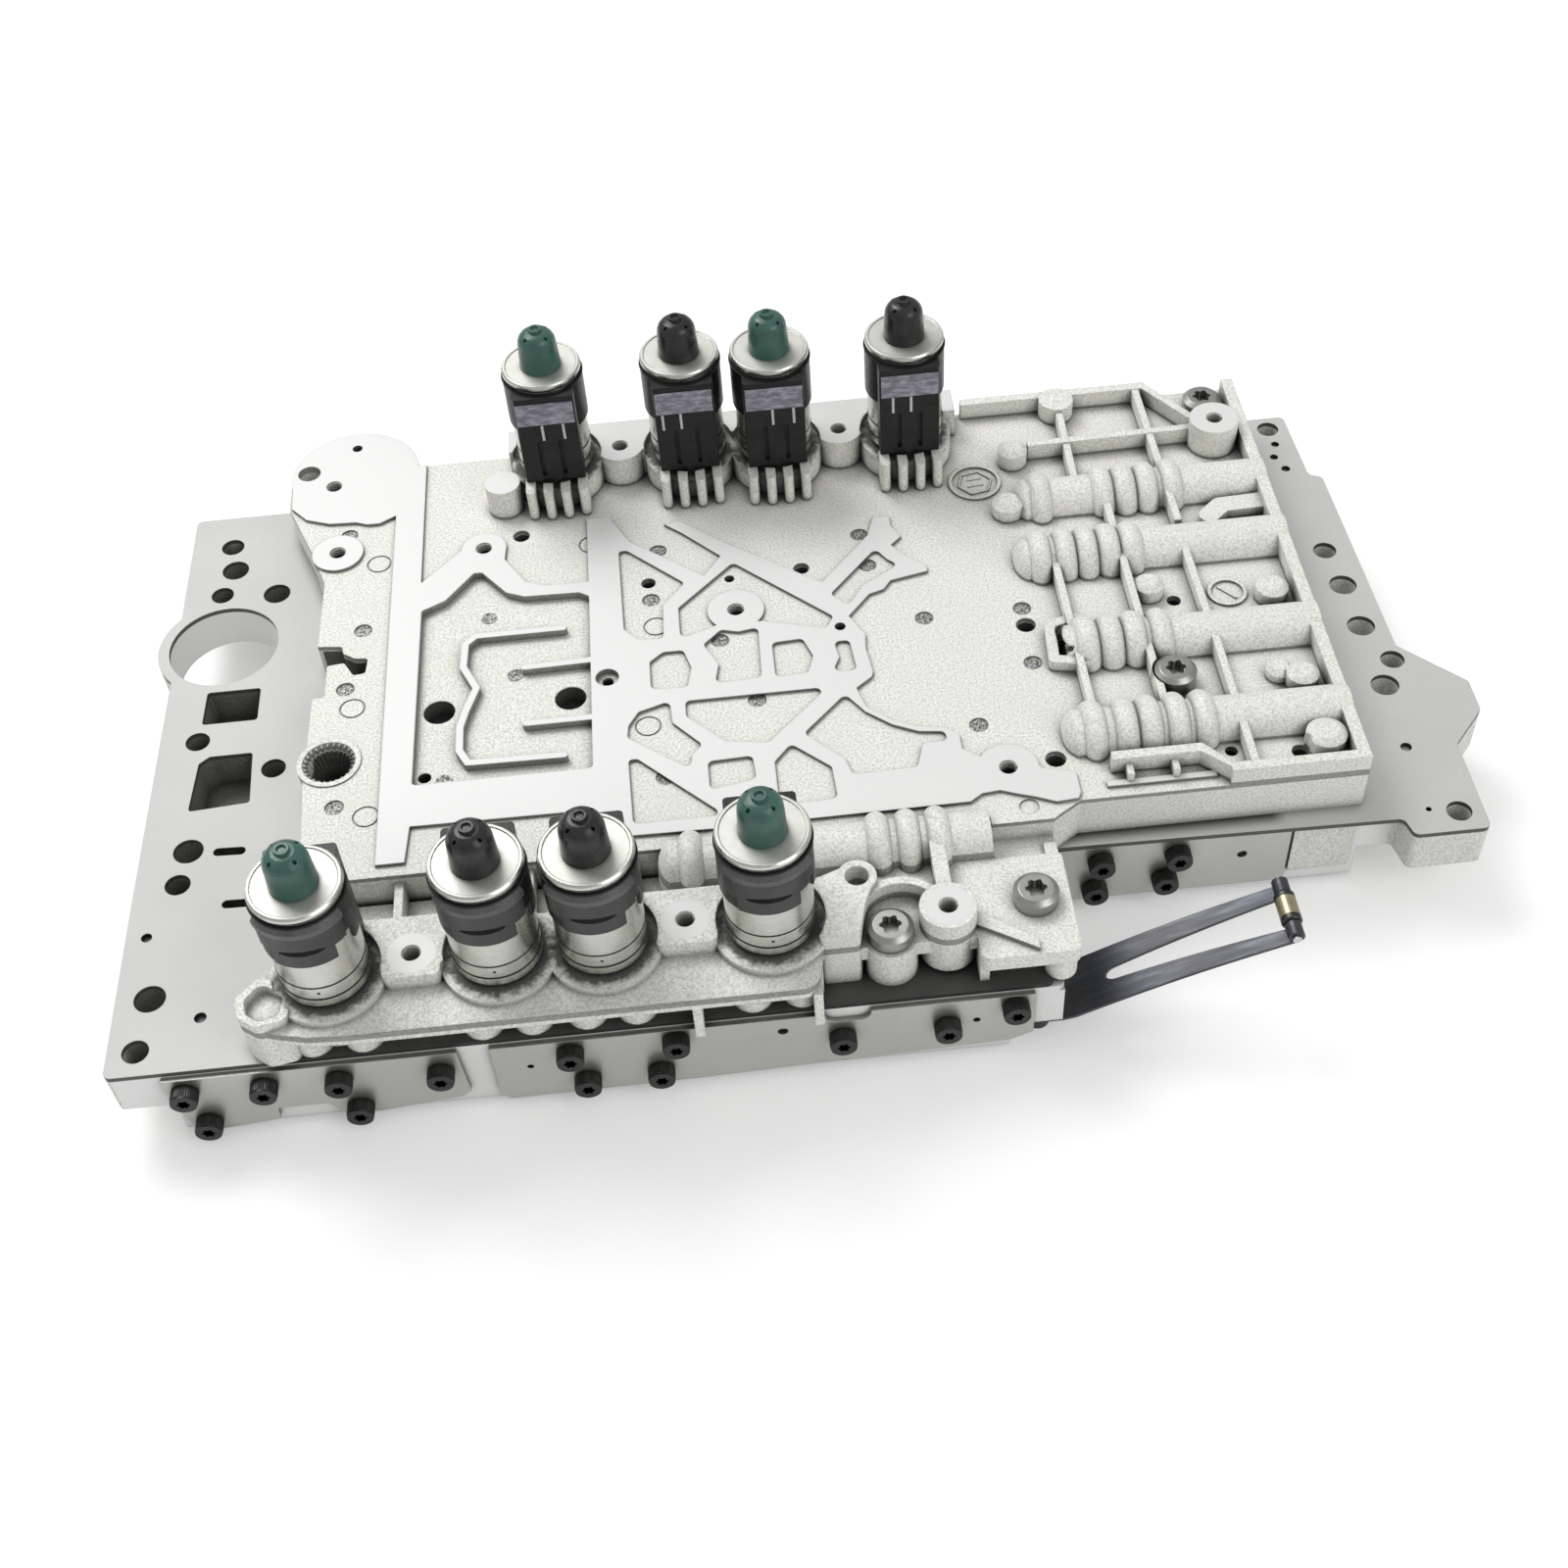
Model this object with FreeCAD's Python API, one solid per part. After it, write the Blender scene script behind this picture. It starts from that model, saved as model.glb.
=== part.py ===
import FreeCAD, Part
import math
import os

# Valve body of an automatic gearbox: a lower and an upper aluminium casting with a steel
# separator plate between them, eight plug-in solenoids, nine sprung spool valves, a manual
# valve, three sheet covers and a forked detent spring with its roller.
# Millimetres. The drawing origin is the front left corner of the separator plate's top face,
# with +X to the right, +Y to the back and +Z up. Everything is moved at the end so that the
# origin lies under the middle of the assembly, on the plane that it rests on.

V = FreeCAD.Vector

# Levels above the top face of the separator plate
PLATE_T = 1.5
DECK_Z = 14.0
LAND_H = 1.0
RECESS_DEPTH = 1.5
LEDGE_Z = 24.5
RIM_Z = 20.0
SHELF_Z = 15.0
SHELF_T = 4.0
PAD_Z = 20.0
BLOCK_Z = 12.5
BLOCK_BACK_Z = 7.0
FLANGE_T = 13.0
CHEST_BOTTOM = -26.0
FOOT_Z = -28.0

LAND_Z = DECK_Z + LAND_H
RECESS_Z = DECK_Z - RECESS_DEPTH
FLANGE_BOTTOM = -PLATE_T - FLANGE_T

# Plan sizes
PLATE_DEPTH = 216.5
LEDGE_DEPTH = 10.5
RIGHT_TIP_X = 384.0
RING_X = 16.3
RING_Y = 156.5
RING_R = 16.8
RING_WALL = 3.4
LOBE_X = 57.0
LOBE_Y = PLATE_DEPTH - 2.0
LOBE_R = 20.5
UPPER_RIGHT_X = 341.0
UPPER_FRONT_Y = 48.9
CHEST_DEPTH = 62.0
RIGHT_FACE_Y = 46.0

# Fits and fasteners
RUN_CLEARANCE = 0.04
FIT_GAP = 0.05
SEAT_GAP = 0.3
M6_R = 3.0
M6_TAP_R = 2.5
M6_CLEAR_R = 3.3
M6_HEAD_R = 6.0
M6_HEAD_H = 5.0
M4_R = 2.0
M4_HEAD_R = 3.5
M4_HEAD_H = 4.0
M4_LENGTH = 12.0
COVER_T = 1.5
DOWEL_R = 3.0

# Solenoids: radii, and heights above the seat
CAN_R = 11.5
DISC_R = 12.0
DISC_T = 1.4
CAN_TOP = 36.6
CAP_R = 6.2
CAP_SHOULDER_H = 8.0
CAP_H = 13.0
CAP_NIPPLE_R = 2.0
CAP_NIPPLE_H = 1.0
CAP_VENT_R = 0.5
CAP_VENT_CIRCLE_R = 4.3
NOZZLE_R = 8.0
NOZZLE_DEPTH = 11.0
ORING_WIRE_R = 0.9
ORING_DROP = 4.0
CONN_HALF_W = 9.2
CONN_FACE = 13.6
CONN_TOP = 35.2
CONN_GROOVE = 1.6
WRAP_T = 0.7
WRAP_BOTTOM = 19.5
FRONT_SEAT_Z = 17.0
BACK_SEAT_Z = 22.0
CONN_BOTTOM = PAD_Z - FRONT_SEAT_Z + SEAT_GAP
FRONT_SOLENOIDS = [(61.2, 13.8), (105.2, 14.9), (132.2, 15.0), (175.4, 15.7)]
BACK_SOLENOIDS = [(123.1, PLATE_DEPTH - 13.5), (165.0, PLATE_DEPTH - 14.2),
                  (192.2, PLATE_DEPTH - 16.5), (233.3, PLATE_DEPTH - 16.5)]

# Spool valves of the upper casting: bores along X, open at the right
BORE_R = 6.0
CHAMBER_R = 8.2
BULGE_R = 8.2
RING_BULGE_R = 10.5
BORE_Z = 13.0
PLUG_L = 6.0
PLUG_INSET = 4.0
PIN_R = 1.25
TRAVEL = 6.0
SPRING_WIRE_R = 0.55
SPRING_R = 4.6
SPRING_TURNS = 6
STUB_L = 2.0
LAND_L = 7.0
STEM_L = 5.0
NOSE_L = 4.0
NOSE_ROOM = 8.0
SPRING_L = NOSE_L + TRAVEL + NOSE_ROOM
LAND_R = BORE_R - RUN_CLEARANCE
STEM_R = 3.4
RIGHT_VALVES = [
    {"y": 170.0, "start": 266.0, "rings": [271.0, 290.0, 297.0, 304.0, 311.5]},
    {"y": 143.5, "start": 262.0, "rings": [266.5, 274.0, 280.5, 287.0, 294.0]},
    {"y": 105.5, "start": 268.0, "rings": [273.5, 280.5, 287.5, 295.0]},
    {"y": 72.0, "start": 264.0, "rings": [269.5, 278.0, 285.0, 292.5, 300.0]},
]
FRONT_VALVE = {"y": 41.0, "start": 150.0, "rings": [156.0, 180.0, 206.0, 214.0, 222.0]}
FRONT_VALVE_Z = 11.0
FRONT_VALVE_END = 236.0

# Spool valves of the lower casting: bores along Y behind the front covers
LOWER_BORE_R = 5.5
LOWER_BORE_Z = -13.5
LOWER_BORE_L = 56.0
LOWER_TRAVEL = 5.0
LOWER_NOSE_ROOM = 5.0
LOWER_SPRING_L = NOSE_L + LOWER_TRAVEL + LOWER_NOSE_ROOM
LOWER_SPRING_R = 4.4
LOWER_VALVES = [(50.0, 0.0), (133.0, 0.0), (170.0, 0.0), (278.5, RIGHT_FACE_Y)]

# Manual valve: along X in its own barrel behind the lower bores
MANUAL_R = 5.0
MANUAL_Y = 76.0
MANUAL_Z = -13.5
MANUAL_BARREL_R = 9.0
MANUAL_START = 140.0
MANUAL_END = 240.0
MANUAL_STROKE = 12.0
MANUAL_STICK_OUT = 14.0

# Detent spring: a forked blade that rises to the right from its clamp
BLADE_T = 1.0
BLADE_W = 17.0
BLADE_Y = 8.8
BLADE_ROOT_X = 252.0
BLADE_TOP_Z = -17.0
BLADE_RISE = 24.0
BLADE_L = 63.0
BLADE_CLAMP_L = 15.0
BLADE_END_W = 18.4
FORK_START = 12.0
FORK_ROOT_HALF = 1.8
FORK_END_HALF = 5.0
ROLLER_R = 2.75
ROLLER_L = 9.4
DETENT_PIN_R = 1.2
DETENT_PIN_L = 20.0
EYE_R = 2.2
DETENT_SCREWS = [(244.0, 4.6), (244.0, 13.0)]

# Positions that several pieces share
HOUSING_BOLTS = [(244.6, 18.2), (205.8, 11.2), (296.0, 88.6), (330.0, PLATE_DEPTH - 9.0)]
HOUSING_BOLT_SEATS = [BLOCK_Z, BLOCK_Z, 15.5, 14.5]
DOWELS = [(64.0, PLATE_DEPTH - 16.5), (330.0, 62.5)]
BALLS = [(172.0, 176.0), (222.0, 176.0), (112.0, 130.0), (300.0, 190.0)]
BALL_R = 3.0
LEFT_SCREWS = [(19.6, -7.2), (22.3, -21.6), (40.1, -7.7), (59.5, -8.0), (62.4, -21.6), (85.8, -9.5)]
MIDDLE_SCREWS = [(120.0, -6.6), (123.1, -19.6), (147.7, -5.8), (142.7, -18.9),
                 (191.2, -11.9), (218.9, -11.6), (236.8, -6.0)]
RIGHT_SCREWS = [(268.0, -7.5), (266.8, -19.0), (289.5, -7.5), (286.5, -17.5)]

# Front covers as (x, z) outlines, with their extra holes as (x, z, radius)
LEFT_COVER = [
    (14.5, -2), (91, -2), (92, -20), (90, -22), (68, -25), (58, -25), (54.5, -19), (41, -19), (40.5, -24),
    (24, -26), (18, -24), (14.5, -10)]
MIDDLE_COVER = [(99.5, -2), (242, -2), (242, -19), (235.8, -21.8), (150, -25), (102, -25.6), (99.5, -23)]
RIGHT_COVER = [(256, -2), (321, -2), (321, -24), (262, -24), (256, -21)]
MIDDLE_COVER_HOLES = [(109.0, -11.6, 0.9), (175.7, -7.3, 1.4), (226.7, -11.0, 1.0)]
RIGHT_COVER_HOLES = [(308.0, -11.0, 1.4)]
COVER_NOTCH = (187.0, 199.0, -5.5)

PLATE_OUTLINE = [
    (0, 0), (0.4, 60), (1.6, 150), (2, PLATE_DEPTH), (361, PLATE_DEPTH), (362, 187), (366, 185),
    (367.6, 107.8), (RIGHT_TIP_X, 91), (RIGHT_TIP_X, 79.5), (373.5, 67.5), (373.5, 36.5),
    (352.5, 36.5), (351, 42.5), (250, 44.5), (247, 41), (247, 0)]

LEFT_WINDOWS = [
    [(13.3, 136.8), (29.4, 136.8), (29.4, 123.6), (12.9, 123.6)],
    [(13.6, 107.8), (16.6, 110.3), (29.2, 110.3), (30, 90.8), (12.4, 89.5)]]

# Through holes of the plate and the lower casting: (x, y, radius)
BOLT_HOLES = [
    (16.8, PLATE_DEPTH - 25.6, 4.2), (31.0, 178.1, 4.2), (14.2, 74.5, 4.3), (9.4, 24.2, 4.3),
    (359.2, 135.3, 4.1), (359.8, 117.3, 4.1), (360.0, 92.6, 4.1)]
OIL_HOLES = [
    (14.9, PLATE_DEPTH - 14.3, 3.6), (13.7, 179.7, 3.5), (12.4, 116.8, 3.6), (35.9, 103.2, 3.6),
    (12.5, 62.6, 3.6), (7.6, 7.6, 3.6), (354.7, PLATE_DEPTH - 5.6, 3.4), (357.8, 151.1, 3.5),
    (365.0, 102.4, 3.5), (366.6, 43.3, 3.5)]
PLATE_DROPS = [
    (6.0, 45.0, 1.5), (23.6, 16.5, 1.65), (355.2, PLATE_DEPTH - 13.4, 1.3),
    (353.3, PLATE_DEPTH - 19.6, 1.3), (355.6, PLATE_DEPTH - 25.8, 1.4),
    (359.1, 68.2, 1.6), (358.6, 45.0, 0.8)]
PLATE_SLOTS = [((22.7, 73.2), (29.1, 72.9)), ((27.0, 54.0), (33.0, 53.8))]
SLOT_W = 2.8

LOWER_OUTLINE = [
    (0, 0), (0.4, 60), (1.6, 150), (2, PLATE_DEPTH), (361, PLATE_DEPTH), (362, 187), (366, 185),
    (367.6, 107.8), (RIGHT_TIP_X, 91), (RIGHT_TIP_X, 79.5), (373.5, 67.5), (373.5, 36.5),
    (352.5, 36.5), (350.5, RIGHT_FACE_Y), (250, RIGHT_FACE_Y), (250, 0)]

# Closed pockets that lighten the lower casting from below, on a grid
POCKET_W = 23.0
POCKET_D = 29.0
POCKET_RIB = 4.0
POCKET_COLUMNS = 8
POCKET_ROWS = 3
POCKET_CORNER = (42.0, 92.0)
POCKET_CEILING = -9.5

# Oil channels, as paths with one width: upper side of the lower casting, and underside of the upper
CHANNEL_W = 6.0
CHANNEL_DEPTH = 5.0
LOWER_CHANNELS = [
    [(50, 70), (50, 110), (90, 110)], [(133, 70), (133, 150)], [(150, 95), (200, 95), (200, 150)],
    [(205, 66), (240, 66), (240, 120)], [(278, 112), (278, 150), (250, 150)],
    [(60, PLATE_DEPTH - 26.5), (100, PLATE_DEPTH - 26.5)],
    [(120, 170), (160, 170), (160, 120)], [(215, PLATE_DEPTH - 16.5), (260, PLATE_DEPTH - 16.5)],
    [(310, 110), (310, 180)]]
UPPER_CHANNELS = [
    [(62, 60), (62, 75), (110, 75)], [(60, 105), (75, 105), (75, 175)], [(95, 125), (95, 145), (120, 145)],
    [(145, 60), (145, 140)], [(160, 175), (160, 115), (190, 115)], [(180, 140), (180, 185), (225, 185)],
    [(215, 60), (215, 100), (250, 100)], [(205, 165), (245, 165), (245, 125)],
    [(100, PLATE_DEPTH - 21.5), (145, 185)],
    [(165, 75), (200, 75), (200, 100)]]
UPPER_CHANNEL_DEPTH = 8.0

CHEST_X0 = 15.0
CHEST_X1 = 250.0
FEET = [(26, 48), (236, 50), (36, PLATE_DEPTH - 16.5), (352, PLATE_DEPTH - 16.5), (328, 56)]
FOOT_R = 8.0
LOWER_CHAMBERS = [20.0, 32.0, 44.0]
LOWER_CHAMBER_R = 7.2
LOWER_CHAMBER_L = 5.0

DECK_OUTLINE = [
    (50, 46.5), (50, 62), (49, 82), (49.5, 116), (50, 165), (45.5, 178.5),
    (36.5, PLATE_DEPTH - 15), (36.5, LOBE_Y), (57, PLATE_DEPTH), (UPPER_RIGHT_X, PLATE_DEPTH),
    (UPPER_RIGHT_X, UPPER_FRONT_Y), (262, UPPER_FRONT_Y), (256, 45), (254, 43.5), (153, 43.5), (150, 46.5)]
DECK_NOTCH = [
    (49, 137.5), (57, 136.5), (57.5, 133.5), (61, 131), (65, 130.5), (64.5, 124.5), (61, 124), (58, 129.5),
    (53, 129), (53, 116), (49, 116)]

# Machined land: outer boundary of the left stripe and web, and the cast cells sunk into it
LAND_OUTLINE = [
    (71, 50), (79, 50), (80, 62.5), (128, 62), (136, 51.5), (163, 51), (232.5, 51.5), (236, 54),
    (241, 54.5), (244.5, 53), (250, 51), (255.5, 48.5), (261.5, 49), (262.5, 51), (262.5, 58.5),
    (253.5, 61), (251, 67), (245, 71), (238, 67), (233, 71), (233, 76.5), (229.5, 79.5), (222, 81),
    (215, 84.5), (208.5, 90.5), (206.5, 98), (211.5, 102), (212, 104), (211, 113.5), (211.5, 119.5),
    (207.5, 127.5), (214.5, 136), (219, 137.5), (221.5, 141), (233, 143.5), (233, 146), (226.5, 152),
    (223.5, 156.5), (227, 160), (224.5, 165), (224.5, 170), (219.5, 170), (217, 162), (201, 143),
    (172, 166), (160, 177), (155, 176), (160, 171.5), (171.5, 159), (166, 151), (144, 169.5), (138, 182),
    (131, 182), (131, 153.5), (118, 153.5), (112, 156), (105.5, 167), (106, 173), (99, 180), (92, 173),
    (80, 160), (80, PLATE_DEPTH - 0.5), (71, PLATE_DEPTH - 0.5)]
LAND_CELLS = [
    [(140.5, 165.5), (143, 165.5), (160, 148.5), (153, 140), (152.5, 125.5), (145, 126.5), (141, 131)],
    [(157.5, 125), (157.5, 138), (175, 155.5), (203, 128), (200.5, 123.5), (182, 129), (168, 129)],
    [(164, 121.5), (169.5, 127), (174.5, 125.5), (180.5, 126.5), (180, 106), (166.5, 105.5), (168, 113)],
    [(148, 116.5), (152, 120), (158, 120), (160, 112.5), (158.5, 105), (148, 105.5)],
    [(184, 119.5), (193, 120), (195.5, 112.5), (193.5, 106), (184, 105.5)],
    [(203, 137.5), (218.5, 155.5), (221.5, 150.5), (224.5, 147.5), (213, 140), (208, 132)],
    [(202, 117.5), (206.5, 117.5), (207.5, 105), (200.5, 105.5), (203, 111)],
    [(157.5, 99.5), (198.5, 99.5), (180, 80.5), (168, 82.5), (157.5, 93.5)],
    [(140.5, 87.5), (141, 92), (144, 97), (153, 100), (153.5, 91.5), (161.5, 82), (158.5, 79), (157.5, 73.5)],
    [(140.5, 79), (143, 79), (164, 57.5), (164, 55.5), (141, 55.5)],
    [(162.5, 75.5), (175, 76), (175.5, 67.5), (162.5, 65)],
    [(181, 73), (186, 79), (196.5, 69), (197, 57.5), (181, 57)],
    [(190, 82.5), (203, 96), (208, 88.5), (215, 82.5), (222, 79), (229, 78), (229.5, 74.5), (222.5, 74.5),
     (220, 66), (202, 65.5), (200.5, 71.5)]]
LOBE_LAND = [
    (37.5, LOBE_Y - 14), (42.5, LOBE_Y - 20), (50, LOBE_Y - 23), (58.5, LOBE_Y - 23.5), (62, LOBE_Y - 25),
    (66, LOBE_Y - 25), (72, LOBE_Y - 21.5), (80, LOBE_Y - 21.5), (80, LOBE_Y + 1.5), (57, LOBE_Y + 1.5),
    (37, LOBE_Y)]

# Deeper cast recess at the left, with a serpentine guide wall standing in it
RECESS = [
    (80, 77.5), (130.5, 77.5), (131, 147), (128, 149), (111.5, 149.5), (106, 152), (98.5, 162), (96, 162),
    (87.5, 151), (80.5, 147.5)]
SERPENTINE = [
    [(123, 134.5), (97, 134.5), (94, 131.5), (93.5, 122), (97.5, 113), (94.5, 104), (93, 98), (93, 89),
     (95.5, 84), (122.5, 83.5)],
    [(132, 120), (111.5, 119.5)], [(132, 97), (112, 97)]]
GUIDE_W = 2.2

# Threaded holes: (x, y, top of the hole, radius of the machined ring around it)
THREADED = [
    (143.3, PLATE_DEPTH - 12.0, LEDGE_Z, 7.5), (212.5, PLATE_DEPTH - 14.0, LEDGE_Z, 7.5),
    (53.5, 177.5, LAND_Z, 8.0),
    (99.0, 173.0, LAND_Z, 7.0), (174.5, 135.0, LAND_Z, 8.5), (244.5, 62.5, LAND_Z, 8.5),
    (83.0, 15.5, PAD_Z, 7.5), (153.5, 17.5, PAD_Z, 8.0), (221.0, 13.5, PAD_Z, 7.5)]
THREAD_DEPTH = 11.0
LOBE_THREAD = (50.5, LOBE_Y - 5.0, 2.5)

# Plain drilled holes in the deck: (x, y, radius)
DECK_HOLES = [
    (57.0, LOBE_Y + 13.0, 1.6), (42.0, LOBE_Y + 2.5, 3.6),
    (110.5, 178.0, 2.6), (86.5, 107.0, 4.6), (124.5, 107.5, 4.6),
    (83.0, 82.0, 1.9), (149.0, 151.0, 2.2), (173.5, 149.5, 1.5), (195.5, 151.0, 2.4), (204.5, 123.5, 1.6),
    (258.5, 117.5, 2.9), (303.0, 121.5, 2.1), (258.0, 64.5, 2.9), (306.0, 61.0, 1.8), (324.5, 58.5, 2.4),
    (329.5, 190.0, 2.5)]
HOLE_DEPTH = 9.0

# Ejector marks and core plugs: shallow round sinks, and thin round rims
EJECTOR_R = 2.7
EJECTORS = [
    (56.5, 186.0), (63.0, 142.5), (59.0, 118.5), (58.5, 73.0), (100.5, 144.0), (108.5, 119.0), (88.5, 80.0),
    (152.5, 165.0), (149.5, 143.5), (169.0, 123.5), (178.0, 98.0), (190.5, 87.0), (150.5, 72.0),
    (214.5, 163.5), (215.5, 149.5), (229.5, 124.5), (258.5, 124.5), (258.0, 102.0), (239.0, 80.0),
    (248.0, 48.5), (109.0, 70.0)]
CORE_MARK_R = 3.8
CORE_MARKS = [(66.5, 171.5), (61.5, 110.5), (67.5, 68.5), (132.0, 171.0), (150.5, 132.0), (146.5, 92.0)]

COUNTERBORE = (135.5, 112.0, 3.4, 1.7)
SPLINE_HOLE = (56.0, 90.0)
SPLINE_OUTER_R = 7.6
SPLINE_INNER_R = 4.4

SHELF_OUTLINE = [
    (38.8, 6), (41, 0.5), (48, -2), (56, -4), (66, -4.6), (186, -4.6), (188, 8), (188, 28), (60, 28),
    (50, 22), (40, 14)]
EAR_OUTLINE = [(37.8, 8), (44, 14.5), (52, 10), (52, 0), (44, -1.5), (39, 2)]
EAR_POCKET = [(40.3, 7.5), (44.5, 12), (50, 8), (50, 1.5), (44.5, 0), (41, 3)]
EAR_Z = PAD_Z - 2
SOCKET_R = DISC_R + 2.2
SOCKET_WALL = 1.2
NOZZLE_WALL = 3.0
COLUMN_R = 5.6
COLUMN_DX = 6.5
PAD_HALF_W = 18.0
FIN_OFFSETS = (-8.1, -2.7, 2.7, 8.1)
FIN_R = 1.5
FIN_REACH = 18.0
BLOCK_T = 5.0

X_MID = (RING_X - RING_R - RING_WALL + RIGHT_TIP_X) / 2
Y_MID = (LOBE_Y + LOBE_R - COVER_T - M4_HEAD_H) / 2


def box(x0, y0, z0, x1, y1, z1):
    return Part.makeBox(x1 - x0, y1 - y0, z1 - z0, V(x0, y0, z0))


def rod(x, y, z0, z1, r):
    return Part.makeCylinder(r, z1 - z0, V(x, y, z0))


def rod_x(x0, x1, y, z, r):
    return Part.makeCylinder(r, x1 - x0, V(x0, y, z), V(1, 0, 0))


def rod_y(y0, y1, x, z, r):
    return Part.makeCylinder(r, y1 - y0, V(x, y0, z), V(0, 1, 0))


def polygon(points):
    ring = [V(*p) for p in points]
    return Part.Face(Part.makePolygon(ring + ring[:1]))


def prism(points, z0, z1):
    return polygon([(x, y, z0) for x, y in points]).extrude(V(0, 0, z1 - z0))


def soft_prism(points, r, z0, z1):
    """A prism whose corners are rounded by r, or less where an edge is short."""
    edges = []
    count = len(points)
    corners = []
    for i, here in enumerate(points):
        p = V(here[0], here[1], z0)
        a = V(*points[i - 1], z0) - p
        b = V(*points[(i + 1) % count], z0) - p
        la, lb = a.Length, b.Length
        a.normalize()
        b.normalize()
        half = max(a.getAngle(b) / 2, 0.05)
        setback = min(r / math.tan(half), 0.45 * la, 0.45 * lb)
        bulge = setback * math.tan(half)
        middle = a + b
        if middle.Length < 0.02 or setback < 0.02:
            corners.append((p, None, p))
            continue
        middle.normalize()
        tip = bulge * (1 / math.sin(half) - 1)
        corners.append((p + a * setback, p + middle * tip, p + b * setback))
    for i, (start, via, end) in enumerate(corners):
        if via is not None:
            edges.append(Part.Arc(start, via, end).toShape())
        following = corners[(i + 1) % count][0]
        if (following - end).Length > 1e-6:
            edges.append(Part.makeLine(end, following))
    face = Part.Face(Part.Wire(edges))
    return face.extrude(V(0, 0, z1 - z0))


def rib(p, q, width, z0, z1):
    """A straight wall from p to q with square ends."""
    along = V(q[0] - p[0], q[1] - p[1], 0)
    along.normalize()
    side = V(-along.y, along.x, 0) * (width / 2)
    corners = [(p[0] + side.x, p[1] + side.y), (q[0] + side.x, q[1] + side.y),
               (q[0] - side.x, q[1] - side.y), (p[0] - side.x, p[1] - side.y)]
    return prism(corners, z0, z1)


def stroke(path, width, z0, z1):
    """A wall that follows a path, with round ends and joints."""
    pieces = [rib(p, q, width, z0, z1) for p, q in zip(path, path[1:])]
    pieces += [rod(x, y, z0, z1, width / 2) for x, y in path]
    return join(pieces)


def join(shapes):
    first = shapes[0]
    if len(shapes) > 1:
        first = first.multiFuse(shapes[1:])
    return first.removeSplitter()


def spun_x(points, y, z):
    """A turned solid about the line along X through (y, z), from (x, radius) points."""
    face = polygon([(x, y, z + r) for x, r in points])
    return face.revolve(V(0, y, z), V(1, 0, 0), 360)


def spun_y(points, x, z):
    face = polygon([(x, y, z + r) for y, r in points])
    return face.revolve(V(x, 0, z), V(0, 1, 0), 360)


def spun_z(points, x, y):
    face = polygon([(x + r, y, z) for z, r in points])
    return face.revolve(V(x, y, 0), V(0, 0, 1), 360)


def hexalobe(r, depth):
    """The six-lobed socket of a screw, along Z from 0 down."""
    centre_r = 0.73 * r
    lobe_r = 0.27 * r
    lobes = [rod(0, 0, -depth, 0, 0.78 * r)]
    for i in range(6):
        a = math.radians(60 * i)
        lobes.append(rod(centre_r * math.cos(a), centre_r * math.sin(a), -depth, 0, lobe_r))
    return join(lobes)


def separator_plate():
    body = soft_prism(PLATE_OUTLINE, 2.0, -PLATE_T, 0)
    body = body.fuse(rod(RING_X, RING_Y, -PLATE_T, 0, RING_R + RING_WALL))
    tools = [soft_prism(w, 1.0, -PLATE_T - 1, 1) for w in LEFT_WINDOWS]
    tools.append(rod(RING_X, RING_Y, -PLATE_T - 1, 1, RING_R))
    for x, y, r in BOLT_HOLES + OIL_HOLES + PLATE_DROPS:
        tools.append(rod(x, y, -PLATE_T - 1, 1, r))
    for p, q in PLATE_SLOTS:
        tools.append(stroke([p, q], SLOT_W, -PLATE_T - 1, 1))
    for x, y in HOUSING_BOLTS:
        tools.append(rod(x, y, -PLATE_T - 1, 1, M6_CLEAR_R))
    for x, y in DOWELS:
        tools.append(rod(x, y, -PLATE_T - 1, 1, DOWEL_R + RUN_CLEARANCE))
    for x, y in BALLS:
        tools.append(rod(x, y, -PLATE_T - 1, 1, BALL_R * 0.6))
    return body.cut(tools).removeSplitter()


def lower_valve_cut(x, face_y):
    cut = [rod_y(face_y - 1, face_y + LOWER_BORE_L, x, LOWER_BORE_Z, LOWER_BORE_R)]
    for start in LOWER_CHAMBERS:
        cut.append(rod_y(face_y + start, face_y + start + LOWER_CHAMBER_L, x, LOWER_BORE_Z, LOWER_CHAMBER_R))
    return cut


def manual_valve_cut():
    cut = [rod_x(MANUAL_START + 6, MANUAL_END + 1, MANUAL_Y, MANUAL_Z, MANUAL_R + RUN_CLEARANCE)]
    half = MANUAL_R + 2
    reach = MANUAL_END + MANUAL_STICK_OUT + MANUAL_STROKE + 1.5
    cut.append(box(MANUAL_END, MANUAL_Y - half, FOOT_Z, reach, MANUAL_Y + half, MANUAL_Z + MANUAL_R + 0.5))
    for start in (MANUAL_START + 25, MANUAL_START + 45, MANUAL_START + 65):
        cut.append(rod_x(start, start + LOWER_CHAMBER_L, MANUAL_Y, MANUAL_Z, MANUAL_R + 1.8))
    return cut


def screw_holes():
    holes = []
    for x, z in LEFT_SCREWS + MIDDLE_SCREWS:
        holes.append(rod_y(-1, M4_LENGTH, x, z, M4_R + FIT_GAP))
    for x, z in RIGHT_SCREWS:
        holes.append(rod_y(RIGHT_FACE_Y - 1, RIGHT_FACE_Y + M4_LENGTH, x, z, M4_R + FIT_GAP))
    for x, y in DETENT_SCREWS:
        holes.append(rod(x, y, BLADE_TOP_Z - 1, BLADE_TOP_Z + 9, M4_R + FIT_GAP))
    return holes


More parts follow.
